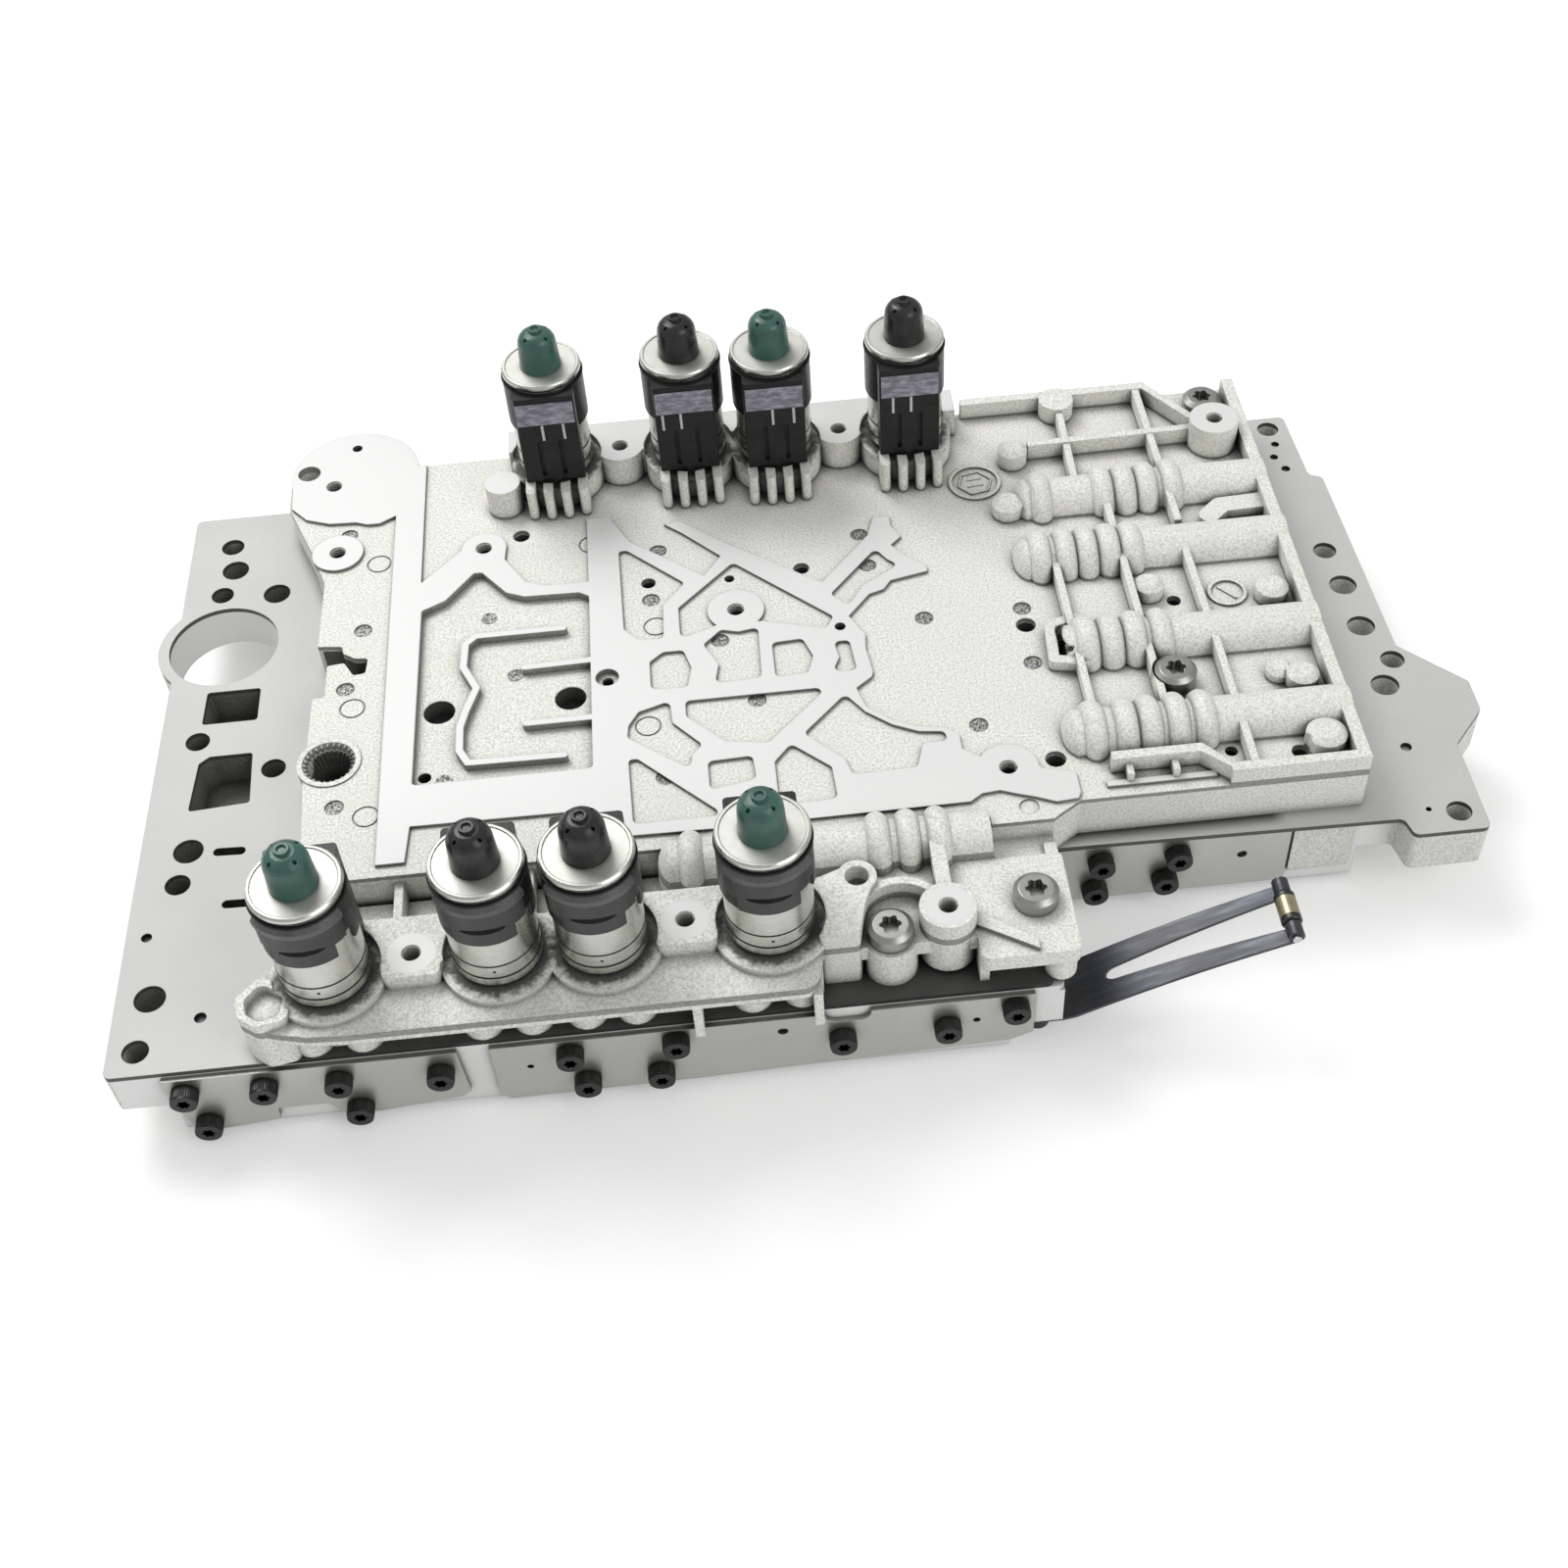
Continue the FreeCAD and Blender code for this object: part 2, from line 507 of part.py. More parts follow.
def underside_pockets():
    pockets = []
    for column in range(POCKET_COLUMNS):
        for row in range(POCKET_ROWS):
            x = POCKET_CORNER[0] + column * (POCKET_W + POCKET_RIB)
            y = POCKET_CORNER[1] + row * (POCKET_D + POCKET_RIB)
            corners = [(x, y), (x + POCKET_W, y), (x + POCKET_W, y + POCKET_D), (x, y + POCKET_D)]
            pockets.append(soft_prism(corners, 4.0, CHEST_BOTTOM, POCKET_CEILING))
    return pockets


def lower_housing():
    top = -PLATE_T
    parts = [
        soft_prism(LOWER_OUTLINE, 2.0, FLANGE_BOTTOM, top),
        rod(RING_X, RING_Y, FLANGE_BOTTOM, top, RING_R + RING_WALL),
        box(CHEST_X0, 0, CHEST_BOTTOM, CHEST_X1, CHEST_DEPTH, top - 2),
        box(256, RIGHT_FACE_Y, CHEST_BOTTOM, UPPER_RIGHT_X, RIGHT_FACE_Y + 20, top - 2),
        box(322, RIGHT_FACE_Y - 1, -21, 339, RIGHT_FACE_Y + 1, top),
        rod_y(RIGHT_FACE_Y, RIGHT_FACE_Y + LOWER_BORE_L + 5, LOWER_VALVES[3][0], LOWER_BORE_Z, 9.5),
        rod_x(MANUAL_START, MANUAL_END, MANUAL_Y, MANUAL_Z, MANUAL_BARREL_R)]
    for x, y in FEET:
        parts.append(rod(x, y, FOOT_Z, top - 2, FOOT_R))
    for x, y, r in BOLT_HOLES:
        parts.append(rod(x, y, FLANGE_BOTTOM - 1.5, top - 2, r + 3))
    body = join(parts)
    tools = [rod(RING_X, RING_Y, FOOT_Z - 1, 1, RING_R)]
    tools += [soft_prism(w, 1.0, FLANGE_BOTTOM + 2, 1) for w in LEFT_WINDOWS]
    tools += [rod(x, y, FOOT_Z - 1, 1, r) for x, y, r in BOLT_HOLES]
    tools += [rod(x, y, FLANGE_BOTTOM + 2, 1, r) for x, y, r in OIL_HOLES]
    tools += [stroke([p, q], SLOT_W, FLANGE_BOTTOM + 4, 1) for p, q in PLATE_SLOTS]
    tools += [stroke(path, CHANNEL_W, top - CHANNEL_DEPTH, 1) for path in LOWER_CHANNELS]
    tools += underside_pockets()
    for x, y in HOUSING_BOLTS:
        tools.append(rod(x, y, top - 11, 1, M6_R + FIT_GAP))
    for x, y in DOWELS:
        tools.append(rod(x, y, top - 6, 1, DOWEL_R + RUN_CLEARANCE))
    for x, y in BALLS:
        tools.append(rod(x, y, top - 2 * BALL_R - 0.2, 1, BALL_R + SEAT_GAP))
    tools.append(box(236, -1, FOOT_Z, CHEST_X1 + 1, BLADE_Y + BLADE_W / 2 + 2, BLADE_TOP_Z))
    for x, face_y in LOWER_VALVES:
        tools += lower_valve_cut(x, face_y)
    tools += manual_valve_cut() + screw_holes()
    return body.cut(tools).removeSplitter()


def bulge(valve, z, end, tube_r, ring_r):
    """Outside of a cast valve barrel: a tube with one rounded ring over each chamber."""
    y = valve["y"]
    start = valve["start"] - 3
    edges = [Part.makeLine(V(end, y, z), V(start, y, z))]
    here = V(start, y, z)
    dome = V(start + 3, y, z + tube_r)
    via = V(start + 0.9, y, z + 0.7 * tube_r)
    edges.append(Part.Arc(here, via, dome).toShape())
    here = dome
    rings = valve["rings"]
    for i, x in enumerate(rings):
        left = x - 3.2
        right = x + 3.2
        if i and rings[i - 1] + 3.2 > left - 1:
            left = (rings[i - 1] + x) / 2
        if i + 1 < len(rings) and rings[i + 1] - 3.2 < right + 1:
            right = (rings[i + 1] + x) / 2
        foot = V(left, y, z + tube_r)
        if (foot - here).Length > 0.01:
            edges.append(Part.makeLine(here, foot))
        here = V(right, y, z + tube_r)
        edges.append(Part.Arc(foot, V(x, y, z + ring_r), here).toShape())
    corner = V(end, y, z + tube_r)
    edges.append(Part.makeLine(here, corner))
    edges.append(Part.makeLine(corner, V(end, y, z)))
    face = Part.Face(Part.Wire(edges))
    return face.revolve(V(0, y, z), V(1, 0, 0), 360)


def bore_cut(valve, z, end):
    """Inside of a valve barrel: the bore, its chambers, and the oil ports below them."""
    y = valve["y"]
    cut = [rod_x(valve["start"], end + 1, y, z, BORE_R)]
    for x in valve["rings"]:
        cut.append(rod_x(x - 1.8, x + 1.8, y, z, CHAMBER_R - 0.2))
        cut.append(box(x - 1.5, y - 3, -1, x + 1.5, y + 3, z - BORE_R + 1))
    return cut


def back_ledge():
    """Machined ledge that carries the back row of solenoids."""
    fin_z = BACK_SEAT_Z + CONN_BOTTOM - SEAT_GAP
    parts = [box(108, PLATE_DEPTH - LEDGE_DEPTH, 0, 250, PLATE_DEPTH, LEDGE_Z)]
    for x, y in BACK_SOLENOIDS:
        parts.append(rod(x, y, 0, BACK_SEAT_Z, SOCKET_R))
    for x, y, z, r in THREADED[:2]:
        parts.append(rod(x, y, 0, z, r))
        parts.append(box(x - 12, y - 3, 0, x + 12, PLATE_DEPTH, LEDGE_Z))
    for x, y in BACK_SOLENOIDS:
        for dx in FIN_OFFSETS:
            front = y - FIN_REACH + abs(dx) / 8
            parts.append(rod(x + dx, front, 0, fin_z, FIN_R))
            parts.append(box(x + dx - FIN_R, front, 0, x + dx + FIN_R, y - NOZZLE_R, fin_z))
    return parts


def right_walls():
    """Rims, stiffening ribs and core bosses around the four barrels at the right."""
    x1 = UPPER_RIGHT_X
    front = UPPER_FRONT_Y
    z0 = DECK_Z - 3
    parts = [
        box(x1 - 3.6, front, z0, x1, PLATE_DEPTH - 2.5, RIM_Z),
        box(303, front, z0, x1, front + 3, RIM_Z),
        box(253, PLATE_DEPTH - 3, z0, 313, PLATE_DEPTH, RIM_Z),
        rod(283.5, PLATE_DEPTH - 5, z0, RIM_Z + 0.5, 5.5),
        rib((312, PLATE_DEPTH - 1.5), (325, PLATE_DEPTH - 20.5), 2.4, z0, RIM_Z),
        rib((271, 191.5), (326, 192.5), 2.4, z0, RIM_Z),
        rod(329.5, 190, z0, LEDGE_Z, 7.6),
        rod(330, PLATE_DEPTH - 9, z0, DECK_Z + 0.5, 8.5)]
    walls = [
        ((270.5, 140), (270.5, 76), 19.0), ((290.5, 140), (290.5, 76), 19.5),
        ((309.5, 146), (310, 108), 19.0), ((310, 103), (310, 51), 19.5),
        ((283.8, PLATE_DEPTH - 4.5), (282.5, 166), 19.5), ((309.5, PLATE_DEPTH - 2.5), (310, 150), 19.8),
        ((290.5, 168), (290.5, 146), 19.0)]
    parts += [rib(p, q, 2.2, z0, z1) for p, q, z1 in walls]
    domes = [
        (266.0, 190.0, 4.6, 21.0), (260.8, 166.5, 4.8, 20.0), (296.0, 125.0, 4.4, 20.0),
        (331.0, 119.0, 4.8, 20.0), (331.0, 83.5, 4.6, 20.0), (325.5, 87.5, 3.8, 18.5),
        (331.5, 60.0, 5.6, 20.5)]
    for x, y, r, z1 in domes:
        parts.append(rod(x, y, z0, z1 - 1.5, r))
        parts.append(Part.makeCone(r, r * 0.6, 1.5, V(x, y, z1 - 1.5)))
    elbow = stroke([(338, 158), (325, 157.5), (320.5, 153.5)], 6.4, z0, 17.5)
    slot_rim = stroke([(272, 115), (264.5, 113), (263.5, 99), (272, 97)], 3.0, z0, 18.0)
    wing_outline = [(272, 57), (296, 57), (303.5, front + 1), (303.5, front + 3.5), (297, 60), (272, 60)]
    wing = prism(wing_outline, z0, RIM_Z)
    apron = [rib((x, 58), (x, 53), 1.8, z0, RIM_Z - 2) for x in (276.5, 289.0)]
    apron.append(box(270, 52, z0, 300, 54, DECK_Z + 1))
    return parts + [elbow, slot_rim, wing] + apron


def front_shelf():
    """Raised shelf with the sockets of the front row of solenoids, on columns over the plate."""
    z0 = SHELF_Z - SHELF_T
    parts = [soft_prism(SHELF_OUTLINE, 5.0, z0, SHELF_Z), soft_prism(EAR_OUTLINE, 3.0, 0, EAR_Z)]
    for x, y in FRONT_SOLENOIDS:
        parts.append(rod(x, y, 0, z0 + 1, NOZZLE_R + NOZZLE_WALL))
        parts.append(rod(x, y, z0, FRONT_SEAT_Z, SOCKET_R + SOCKET_WALL))
        for dx in (-COLUMN_DX, COLUMN_DX):
            parts.append(rod(x + dx, COLUMN_R + 0.2, 0, z0 + 1, COLUMN_R))
    for x, y, z, r in THREADED[6:8]:
        wide = [(x - PAD_HALF_W, 27.5), (x - PAD_HALF_W, 15), (x - r, y - 3), (x - r, y - r), (x + r, y - r),
                (x + r, y - 3), (x + PAD_HALF_W, 15), (x + PAD_HALF_W, 27.5)]
        parts.append(soft_prism(wide, 2.5, 0.5, z))
    for x in (154.5, 185.5):
        parts.append(box(x - 1.2, -4.6, -COVER_T, x + 1.2, -SEAT_GAP, z0 + 1))
        parts.append(box(x - 1.2, -4.6, 0, x + 1.2, 8, z0 + 1))
    return parts


def front_pocket_ribs():
    """Gussets between the shelf and the step of the deck, behind the solenoids."""
    z1 = DECK_Z - 1
    xs = (55.0, 77.0, 89.5, 112.0, 120.0, 140.0)
    parts = [rib((x, 27), (x, 47), 2.4, 0, z1 - 2) for x in xs]
    parts.append(rib((179, 26), (179, 34), 3.0, 0, z1))
    parts.append(box(50, 25.5, 0, 186.5, 45, 4))
    return parts


def front_block():
    """Open block at the front right, with two bolt seats and a tall threaded column."""
    z0 = BLOCK_Z - BLOCK_T
    x1 = 254.0
    x, y, z, r = THREADED[8]
    parts = [
        soft_prism([(186, 8), (x1 - 2, 8), (x1, 9), (x1, 33), (186, 33)], 1.5, z0, BLOCK_Z),
        soft_prism([(228, 0.5), (x1, 0.5), (x1, 12), (228, 12)], 2.5, z0, BLOCK_Z),
        box(186, 28, 0, x1, 45, BLOCK_BACK_Z),
        box(x1 - 3.5, 6, 0, x1, 40, z0 + 1),
        rod(249.5, 5, 0, BLOCK_Z - 1, 4.2),
        rod(x, y, 1.5, z, r),
        rod(198.8, 26, 0, z, 5.2),
        box(x - 2, y, 3, x + 2, 36, z - 1),
        rod(HOUSING_BOLTS[1][0], HOUSING_BOLTS[1][1], 0, BLOCK_Z, M6_HEAD_R + 1),
        rod(HOUSING_BOLTS[0][0], HOUSING_BOLTS[0][1], 0, BLOCK_Z, M6_HEAD_R + 1),
        soft_prism([(187, 26), (197, 30), (203, 24), (200, 17), (197.5, 7), (187, 7)], 1.5, 0, z),
        prism([(228, 11), (243, 1.5), (243, 5), (229, 15)], z0, BLOCK_Z + 1.5),
        box(228, 3, 0, 230.5, 12, z0 + 1)]
    wall = rod(209, 13, 0, z - 1.5, 12.5).cut(rod(209, 13, -1, z, 10.3))
    parts.append(wall.common(box(198, 17, -1, 220, 30, z)))
    return parts


def machined_land():
    land = join([prism(LAND_OUTLINE, DECK_Z - 1, LAND_Z), prism(LOBE_LAND, DECK_Z - 1, LAND_Z),
                 rod(LOBE_X, LOBE_Y, DECK_Z - 1, LAND_Z, LOBE_R)])
    return land.cut([soft_prism(c, 1.6, DECK_Z, LAND_Z + 1) for c in LAND_CELLS])


def deck():
    parts = [
        prism(DECK_OUTLINE, 0, DECK_Z), rod(LOBE_X, LOBE_Y, 0, DECK_Z, LOBE_R),
        rod(*SPLINE_HOLE, 0, DECK_Z + 0.4, SPLINE_OUTER_R + 1.6),
        rod(106, PLATE_DEPTH - 24.5, 0, LEDGE_Z, 5.6), rod(53.5, 177.5, 0, DECK_Z, 8.0), machined_land()]
    for x, y, z, r in THREADED[2:6]:
        parts.append(rod(x, y, DECK_Z - 2, LAND_Z, r))
    for x, y, r in ((253.0, 182.0, 8.2), (319.0, 122.5, 5.8)):
        parts.append(rod(x, y, DECK_Z - 2, DECK_Z + 0.8, r).cut(rod(x, y, 0, LAND_Z + 2, r - 1.1)))
    return parts


def recess_cut():
    """The recess without its guide walls."""
    recess = soft_prism(RECESS, 1.2, RECESS_Z, LAND_Z + 1)
    return recess.cut([stroke(path, GUIDE_W, RECESS_Z - 1, LAND_Z) for path in SERPENTINE])


def upper_cuts():
    tools = [recess_cut(), soft_prism(DECK_NOTCH, 1.0, -1, LAND_Z + 1)]
    tools.append(soft_prism(EAR_POCKET, 2.5, EAR_Z - 3, EAR_Z + 1))
    tools += [rod(x, y, FRONT_SEAT_Z, PAD_Z + 1, SOCKET_R) for x, y in FRONT_SOLENOIDS]
    tools += [rod(x, y, BACK_SEAT_Z, LEDGE_Z + 1, SOCKET_R) for x, y in BACK_SOLENOIDS]
    tools += [rod(x, y, z - THREAD_DEPTH, z + 1, M6_TAP_R) for x, y, z, r in THREADED]
    tools += [rod(x, y, LAND_Z - HOLE_DEPTH, 30, r) for x, y, r in DECK_HOLES]
    tools += [rod(x, y, DECK_Z - 0.5, DECK_Z + 0.5, EJECTOR_R) for x, y in EJECTORS]
    for x, y in CORE_MARKS:
        rim = rod(x, y, DECK_Z - 0.35, DECK_Z + 0.1, CORE_MARK_R)
        tools.append(rim.cut(rod(x, y, 0, 30, CORE_MARK_R - 0.5)))
    x, y, r = LOBE_THREAD
    tools.append(rod(x, y, LAND_Z - THREAD_DEPTH, LAND_Z + 1, r))
    x, y, wide, narrow = COUNTERBORE
    tools += [rod(x, y, LAND_Z - 2, LAND_Z + 1, wide), rod(x, y, LAND_Z - HOLE_DEPTH, LAND_Z, narrow)]
    x, y = SPLINE_HOLE
    tools.append(Part.makeCone(SPLINE_INNER_R, SPLINE_OUTER_R, 6, V(x, y, DECK_Z + 0.4 - 6)))
    tools.append(rod(x, y, 3, DECK_Z, SPLINE_INNER_R))
    tools.append(rod(198.8, 26, 2, PAD_Z + 1, 3.2))
    tools.append(soft_prism([(265.5, 111.5), (269.5, 111.5), (269.5, 100), (265.5, 100)], 1.2, 4, 20))
    for (x, y), seat in zip(HOUSING_BOLTS, HOUSING_BOLT_SEATS):
        tools += [rod(x, y, -1, seat + 1, M6_CLEAR_R), rod(x, y, seat, 30, M6_HEAD_R + 0.6)]
    for x, y in DOWELS:
        tools.append(rod(x, y, -1, 5, DOWEL_R + RUN_CLEARANCE))
    for seat, row in ((FRONT_SEAT_Z, FRONT_SOLENOIDS), (BACK_SEAT_Z, BACK_SOLENOIDS)):
        for x, y in row:
            tools.append(rod(x, y, seat - NOZZLE_DEPTH - 0.5, seat + 1, NOZZLE_R + FIT_GAP))
            tools.append(rod(x, y, 1.5, seat, NOZZLE_R - 3.5))
    for path in UPPER_CHANNELS:
        tools.append(stroke(path, CHANNEL_W, -1, UPPER_CHANNEL_DEPTH))
    for valve, z, end in all_upper_valves():
        tools += bore_cut(valve, z, end)
        pin_x = end - PLUG_INSET + PIN_R + FIT_GAP
        tools.append(rod(pin_x, valve["y"], -1, z + BORE_R + 0.8, PIN_R + FIT_GAP))
    return tools


def all_upper_valves():
    rows = [(valve, BORE_Z, UPPER_RIGHT_X) for valve in RIGHT_VALVES]
    rows.append((FRONT_VALVE, FRONT_VALVE_Z, FRONT_VALVE_END))
    return rows


def upper_housing():
    barrels = [bulge(valve, z, end, BULGE_R, RING_BULGE_R) for valve, z, end in all_upper_valves()]
    parts = deck() + back_ledge() + barrels + right_walls()
    parts += front_pocket_ribs() + front_block() + front_shelf()
    return join(parts).cut(upper_cuts()).removeSplitter()


def front_cover(outline, holes, notch, face_y):
    """Sheet cover over the ends of the lower bores, from an outline of (x, z) points."""
    body = polygon([(x, face_y - COVER_T, z) for x, z in outline]).extrude(V(0, COVER_T, 0))
    tools = [rod_y(face_y - COVER_T - 1, face_y + 1, x, z, r) for x, z, r in holes]
    if notch:
        x0, x1, z = notch
        tools.append(box(x0 + 3, face_y - 3, z, x1 - 3, face_y + 1, 1))
        tools.append(box(x0, face_y - 3, z + 3, x1, face_y + 1, 1))
        tools += [rod_y(face_y - 3, face_y + 1, x, z + 3, 3.0) for x in (x0 + 3, x1 - 3)]
    return body.cut(tools)


def cover_holes(screws, extra):
    return [(x, z, M4_R + 0.25) for x, z in screws] + extra


def cap_screw(x, z, face_y):
    """M4 cap screw with a six-lobed socket, driven along +Y through a cover."""
    seat = face_y - COVER_T
    head = rod_y(seat - M4_HEAD_H, seat, x, z, M4_HEAD_R)
    shank = rod_y(seat - 0.5, seat + M4_LENGTH, x, z, M4_R)
    socket = hexalobe(1.75, 2.0)
    socket.rotate(V(0, 0, 0), V(1, 0, 0), 90)
    socket.translate(V(x, seat - M4_HEAD_H, z))
    return head.fuse(shank).cut(socket).removeSplitter()


def cover_screws():
    screws = [cap_screw(x, z, 0) for x, z in LEFT_SCREWS + MIDDLE_SCREWS]
    screws += [cap_screw(x, z, RIGHT_FACE_Y) for x, z in RIGHT_SCREWS]
    return Part.makeCompound(screws)


def housing_screw(x, y, seat):
    """M6 pan head screw that holds the two castings together."""
    profile = [
        (-PLATE_T - 10, 0), (-PLATE_T - 10, M6_R), (seat, M6_R), (seat, M6_HEAD_R),
        (seat + M6_HEAD_H - 1.2, M6_HEAD_R), (seat + M6_HEAD_H, M6_HEAD_R - 1.4), (seat + M6_HEAD_H, 0)]
    socket = hexalobe(2.9, 3.0)
    socket.translate(V(x, y, seat + M6_HEAD_H))
    return spun_z(profile, x, y).cut(socket)


def housing_screws():
    return Part.makeCompound([housing_screw(x, y, z) for (x, y), z in zip(HOUSING_BOLTS, HOUSING_BOLT_SEATS)])


def solenoid_can(x, y, seat):
    """Sealed steel can with its nozzle below and a rolled end disc on top."""
    groove_top = -ORING_DROP + ORING_WIRE_R + 0.1
    groove_bottom = -ORING_DROP - ORING_WIRE_R - 0.1
    groove_r = NOZZLE_R - 1.9
    top = CAN_TOP + DISC_T
    profile = [
        (-NOZZLE_DEPTH, 0), (-NOZZLE_DEPTH, NOZZLE_R - 1), (-NOZZLE_DEPTH + 1, NOZZLE_R),
        (groove_bottom, NOZZLE_R), (groove_bottom, groove_r), (groove_top, groove_r), (groove_top, NOZZLE_R),
        (0, NOZZLE_R), (0, CAN_R - 1), (2, CAN_R - 1), (2, CAN_R), (4.5, CAN_R), (4.5, CAN_R - 0.8),
        (5.1, CAN_R - 0.8), (5.1, CAN_R), (9.2, CAN_R), (9.2, CAN_R - 0.6), (9.8, CAN_R - 0.6), (9.8, CAN_R),
        (CAN_TOP - 1, CAN_R), (CAN_TOP - 1, CAN_R - 0.7), (CAN_TOP, CAN_R - 0.7), (CAN_TOP, DISC_R),
        (top - 0.5, DISC_R), (top, DISC_R - 0.5), (top, DISC_R - 1.1), (top - 0.3, DISC_R - 1.3),
        (top - 0.3, 0)]
    return spun_z([(seat + z, r) for z, r in profile], x, y)


def solenoid_cap(x, y, seat):
    """Moulded cap on the end disc, with a raised ring and four small vents."""
    z0 = CAN_TOP + DISC_T - 0.3
    top = z0 + CAP_H
    shoulder = z0 + CAP_SHOULDER_H
    dome_h = CAP_H - CAP_NIPPLE_H - CAP_SHOULDER_H
    dome_r = CAP_R - 0.4 - CAP_NIPPLE_R
    profile = [(z0, 0), (z0, CAP_R), (shoulder, CAP_R - 0.4)]
    for step in range(1, 7):
        a = math.radians(15 * step)
        profile.append((shoulder + dome_h * math.sin(a), CAP_NIPPLE_R + dome_r * math.cos(a)))
    profile += [(top, CAP_NIPPLE_R - 0.1), (top, 1.2), (top - 0.6, 1.0), (top - 0.6, 0)]
    body = spun_z([(seat + z, r) for z, r in profile], x, y)
    vents = []
    for quarter in range(4):
        a = math.radians(45 + 90 * quarter)
        vent_x = x + CAP_VENT_CIRCLE_R * math.cos(a)
        vent_y = y + CAP_VENT_CIRCLE_R * math.sin(a)
        vents.append(rod(vent_x, vent_y, seat + shoulder + 1.5, seat + top, CAP_VENT_R))
    return body.cut(vents)


def solenoid_connector(x, y, seat, toward):
    """Moulded plug housing that stands beside the can, with a collar round the can's upper half."""
    z0 = seat + CONN_BOTTOM
    z1 = seat + CONN_TOP
    face = y + toward * CONN_FACE
    corners = [(x - CONN_HALF_W, y), (x - CONN_HALF_W, face), (x + CONN_HALF_W, face), (x + CONN_HALF_W, y)]
    body = soft_prism(corners, 1.2, z0, z1)
    body = body.fuse(rod(x, y, seat + WRAP_BOTTOM, z1, CAN_R + WRAP_T))
    tools = [rod(x, y, seat - 1, z1 + 1, CAN_R + FIT_GAP)]
    for dx in (-3.2, 3.2):
        low, high = sorted((face - toward * CONN_GROOVE, face + toward))
        tools.append(box(x + dx - 0.6, low, z0 + 2, x + dx + 0.6, high, seat + WRAP_BOTTOM - 1))
    low, high = sorted((face - toward * 0.5, face + toward))
    tools.append(box(x - 12, low, z0 - 1, x + 12, high, seat + WRAP_BOTTOM + 2.5))
    low, high = sorted((y - toward * 14, y - toward * 4))
    tools.append(box(x + 5, low, seat + WRAP_BOTTOM - 1, x + 14, high, seat + WRAP_BOTTOM + 5.5))
    return body.cut(tools).removeSplitter()


def solenoid_seats():
    """Every solenoid as (x, y, seat, side of the connector)."""
    front = [(x, y, FRONT_SEAT_Z, 1) for x, y in FRONT_SOLENOIDS]
    return front + [(x, y, BACK_SEAT_Z, -1) for x, y in BACK_SOLENOIDS]


def solenoid_o_rings():
    rings = []
    for x, y, seat, _ in solenoid_seats():
        centre = V(x, y, seat - ORING_DROP)
        rings.append(Part.makeTorus(NOZZLE_R - ORING_WIRE_R - 0.02, ORING_WIRE_R, centre, V(0, 0, 1)))
    return Part.makeCompound(rings)


def detent_spring():
    """Forked spring-steel blade: a flat clamp tab, a rising fork and a rolled eye on each prong."""
    half = BLADE_W / 2
    end_half = BLADE_END_W / 2
    mitre = BLADE_T * math.tan(math.radians(BLADE_RISE / 2))
    fork = [
        (-mitre, -half), (BLADE_L, -end_half), (BLADE_L, -FORK_END_HALF), (FORK_START + 6, -FORK_ROOT_HALF),
        (FORK_START, 0), (FORK_START + 6, FORK_ROOT_HALF), (BLADE_L, FORK_END_HALF), (BLADE_L, end_half),
        (-mitre, half)]
    arm = prism([(BLADE_ROOT_X + s, BLADE_Y + w) for s, w in fork], BLADE_TOP_Z - BLADE_T, BLADE_TOP_Z)
    eye_z = BLADE_TOP_Z + EYE_R - BLADE_T
    eye_x = BLADE_ROOT_X + BLADE_L
    holes = [rod_y(BLADE_Y - end_half - 1, BLADE_Y + end_half + 1, eye_x, eye_z, DETENT_PIN_R + FIT_GAP)]
    between = (BLADE_Y - FORK_END_HALF, BLADE_Y + FORK_END_HALF)
    holes.append(box(eye_x - 12, between[0], BLADE_TOP_Z + 0.01, eye_x + 3, between[1], 0))
    eyes = [
        rod_y(BLADE_Y - end_half, BLADE_Y - FORK_END_HALF, eye_x, eye_z, EYE_R),
        rod_y(BLADE_Y + FORK_END_HALF, BLADE_Y + end_half, eye_x, eye_z, EYE_R)]
    arm = arm.fuse(eyes).cut(holes)
    root = V(BLADE_ROOT_X, BLADE_Y, BLADE_TOP_Z)
    arm.rotate(root, V(0, 1, 0), -BLADE_RISE)
    tab = box(BLADE_ROOT_X - BLADE_CLAMP_L, BLADE_Y - half, BLADE_TOP_Z - BLADE_T,
              BLADE_ROOT_X + mitre, BLADE_Y + half, BLADE_TOP_Z)
    tab = tab.cut([rod(x, y, BLADE_TOP_Z - 5, BLADE_TOP_Z + 1, M4_R + 0.2) for x, y in DETENT_SCREWS])
    return arm.fuse(tab).removeSplitter()


def detent_axis():
    """The roller's axis, as (x, z)."""
    a = math.radians(BLADE_RISE)
    lift = EYE_R - BLADE_T
    return (BLADE_ROOT_X + BLADE_L * math.cos(a) - lift * math.sin(a),
            BLADE_TOP_Z + BLADE_L * math.sin(a) + lift * math.cos(a))


def detent_pin():
    x, z = detent_axis()
    return rod_y(BLADE_Y - DETENT_PIN_L / 2, BLADE_Y + DETENT_PIN_L / 2, x, z, DETENT_PIN_R)


def detent_roller():
    x, z = detent_axis()
    half = ROLLER_L / 2
    profile = [(-half, 0), (-half, ROLLER_R - 0.4), (-half + 0.4, ROLLER_R), (half - 0.4, ROLLER_R),
               (half, ROLLER_R - 0.4), (half, 0)]
    body = spun_y([(BLADE_Y + s, r) for s, r in profile], x, z)
    return body.cut(rod_y(BLADE_Y - half - 1, BLADE_Y + half + 1, x, z, DETENT_PIN_R + FIT_GAP))


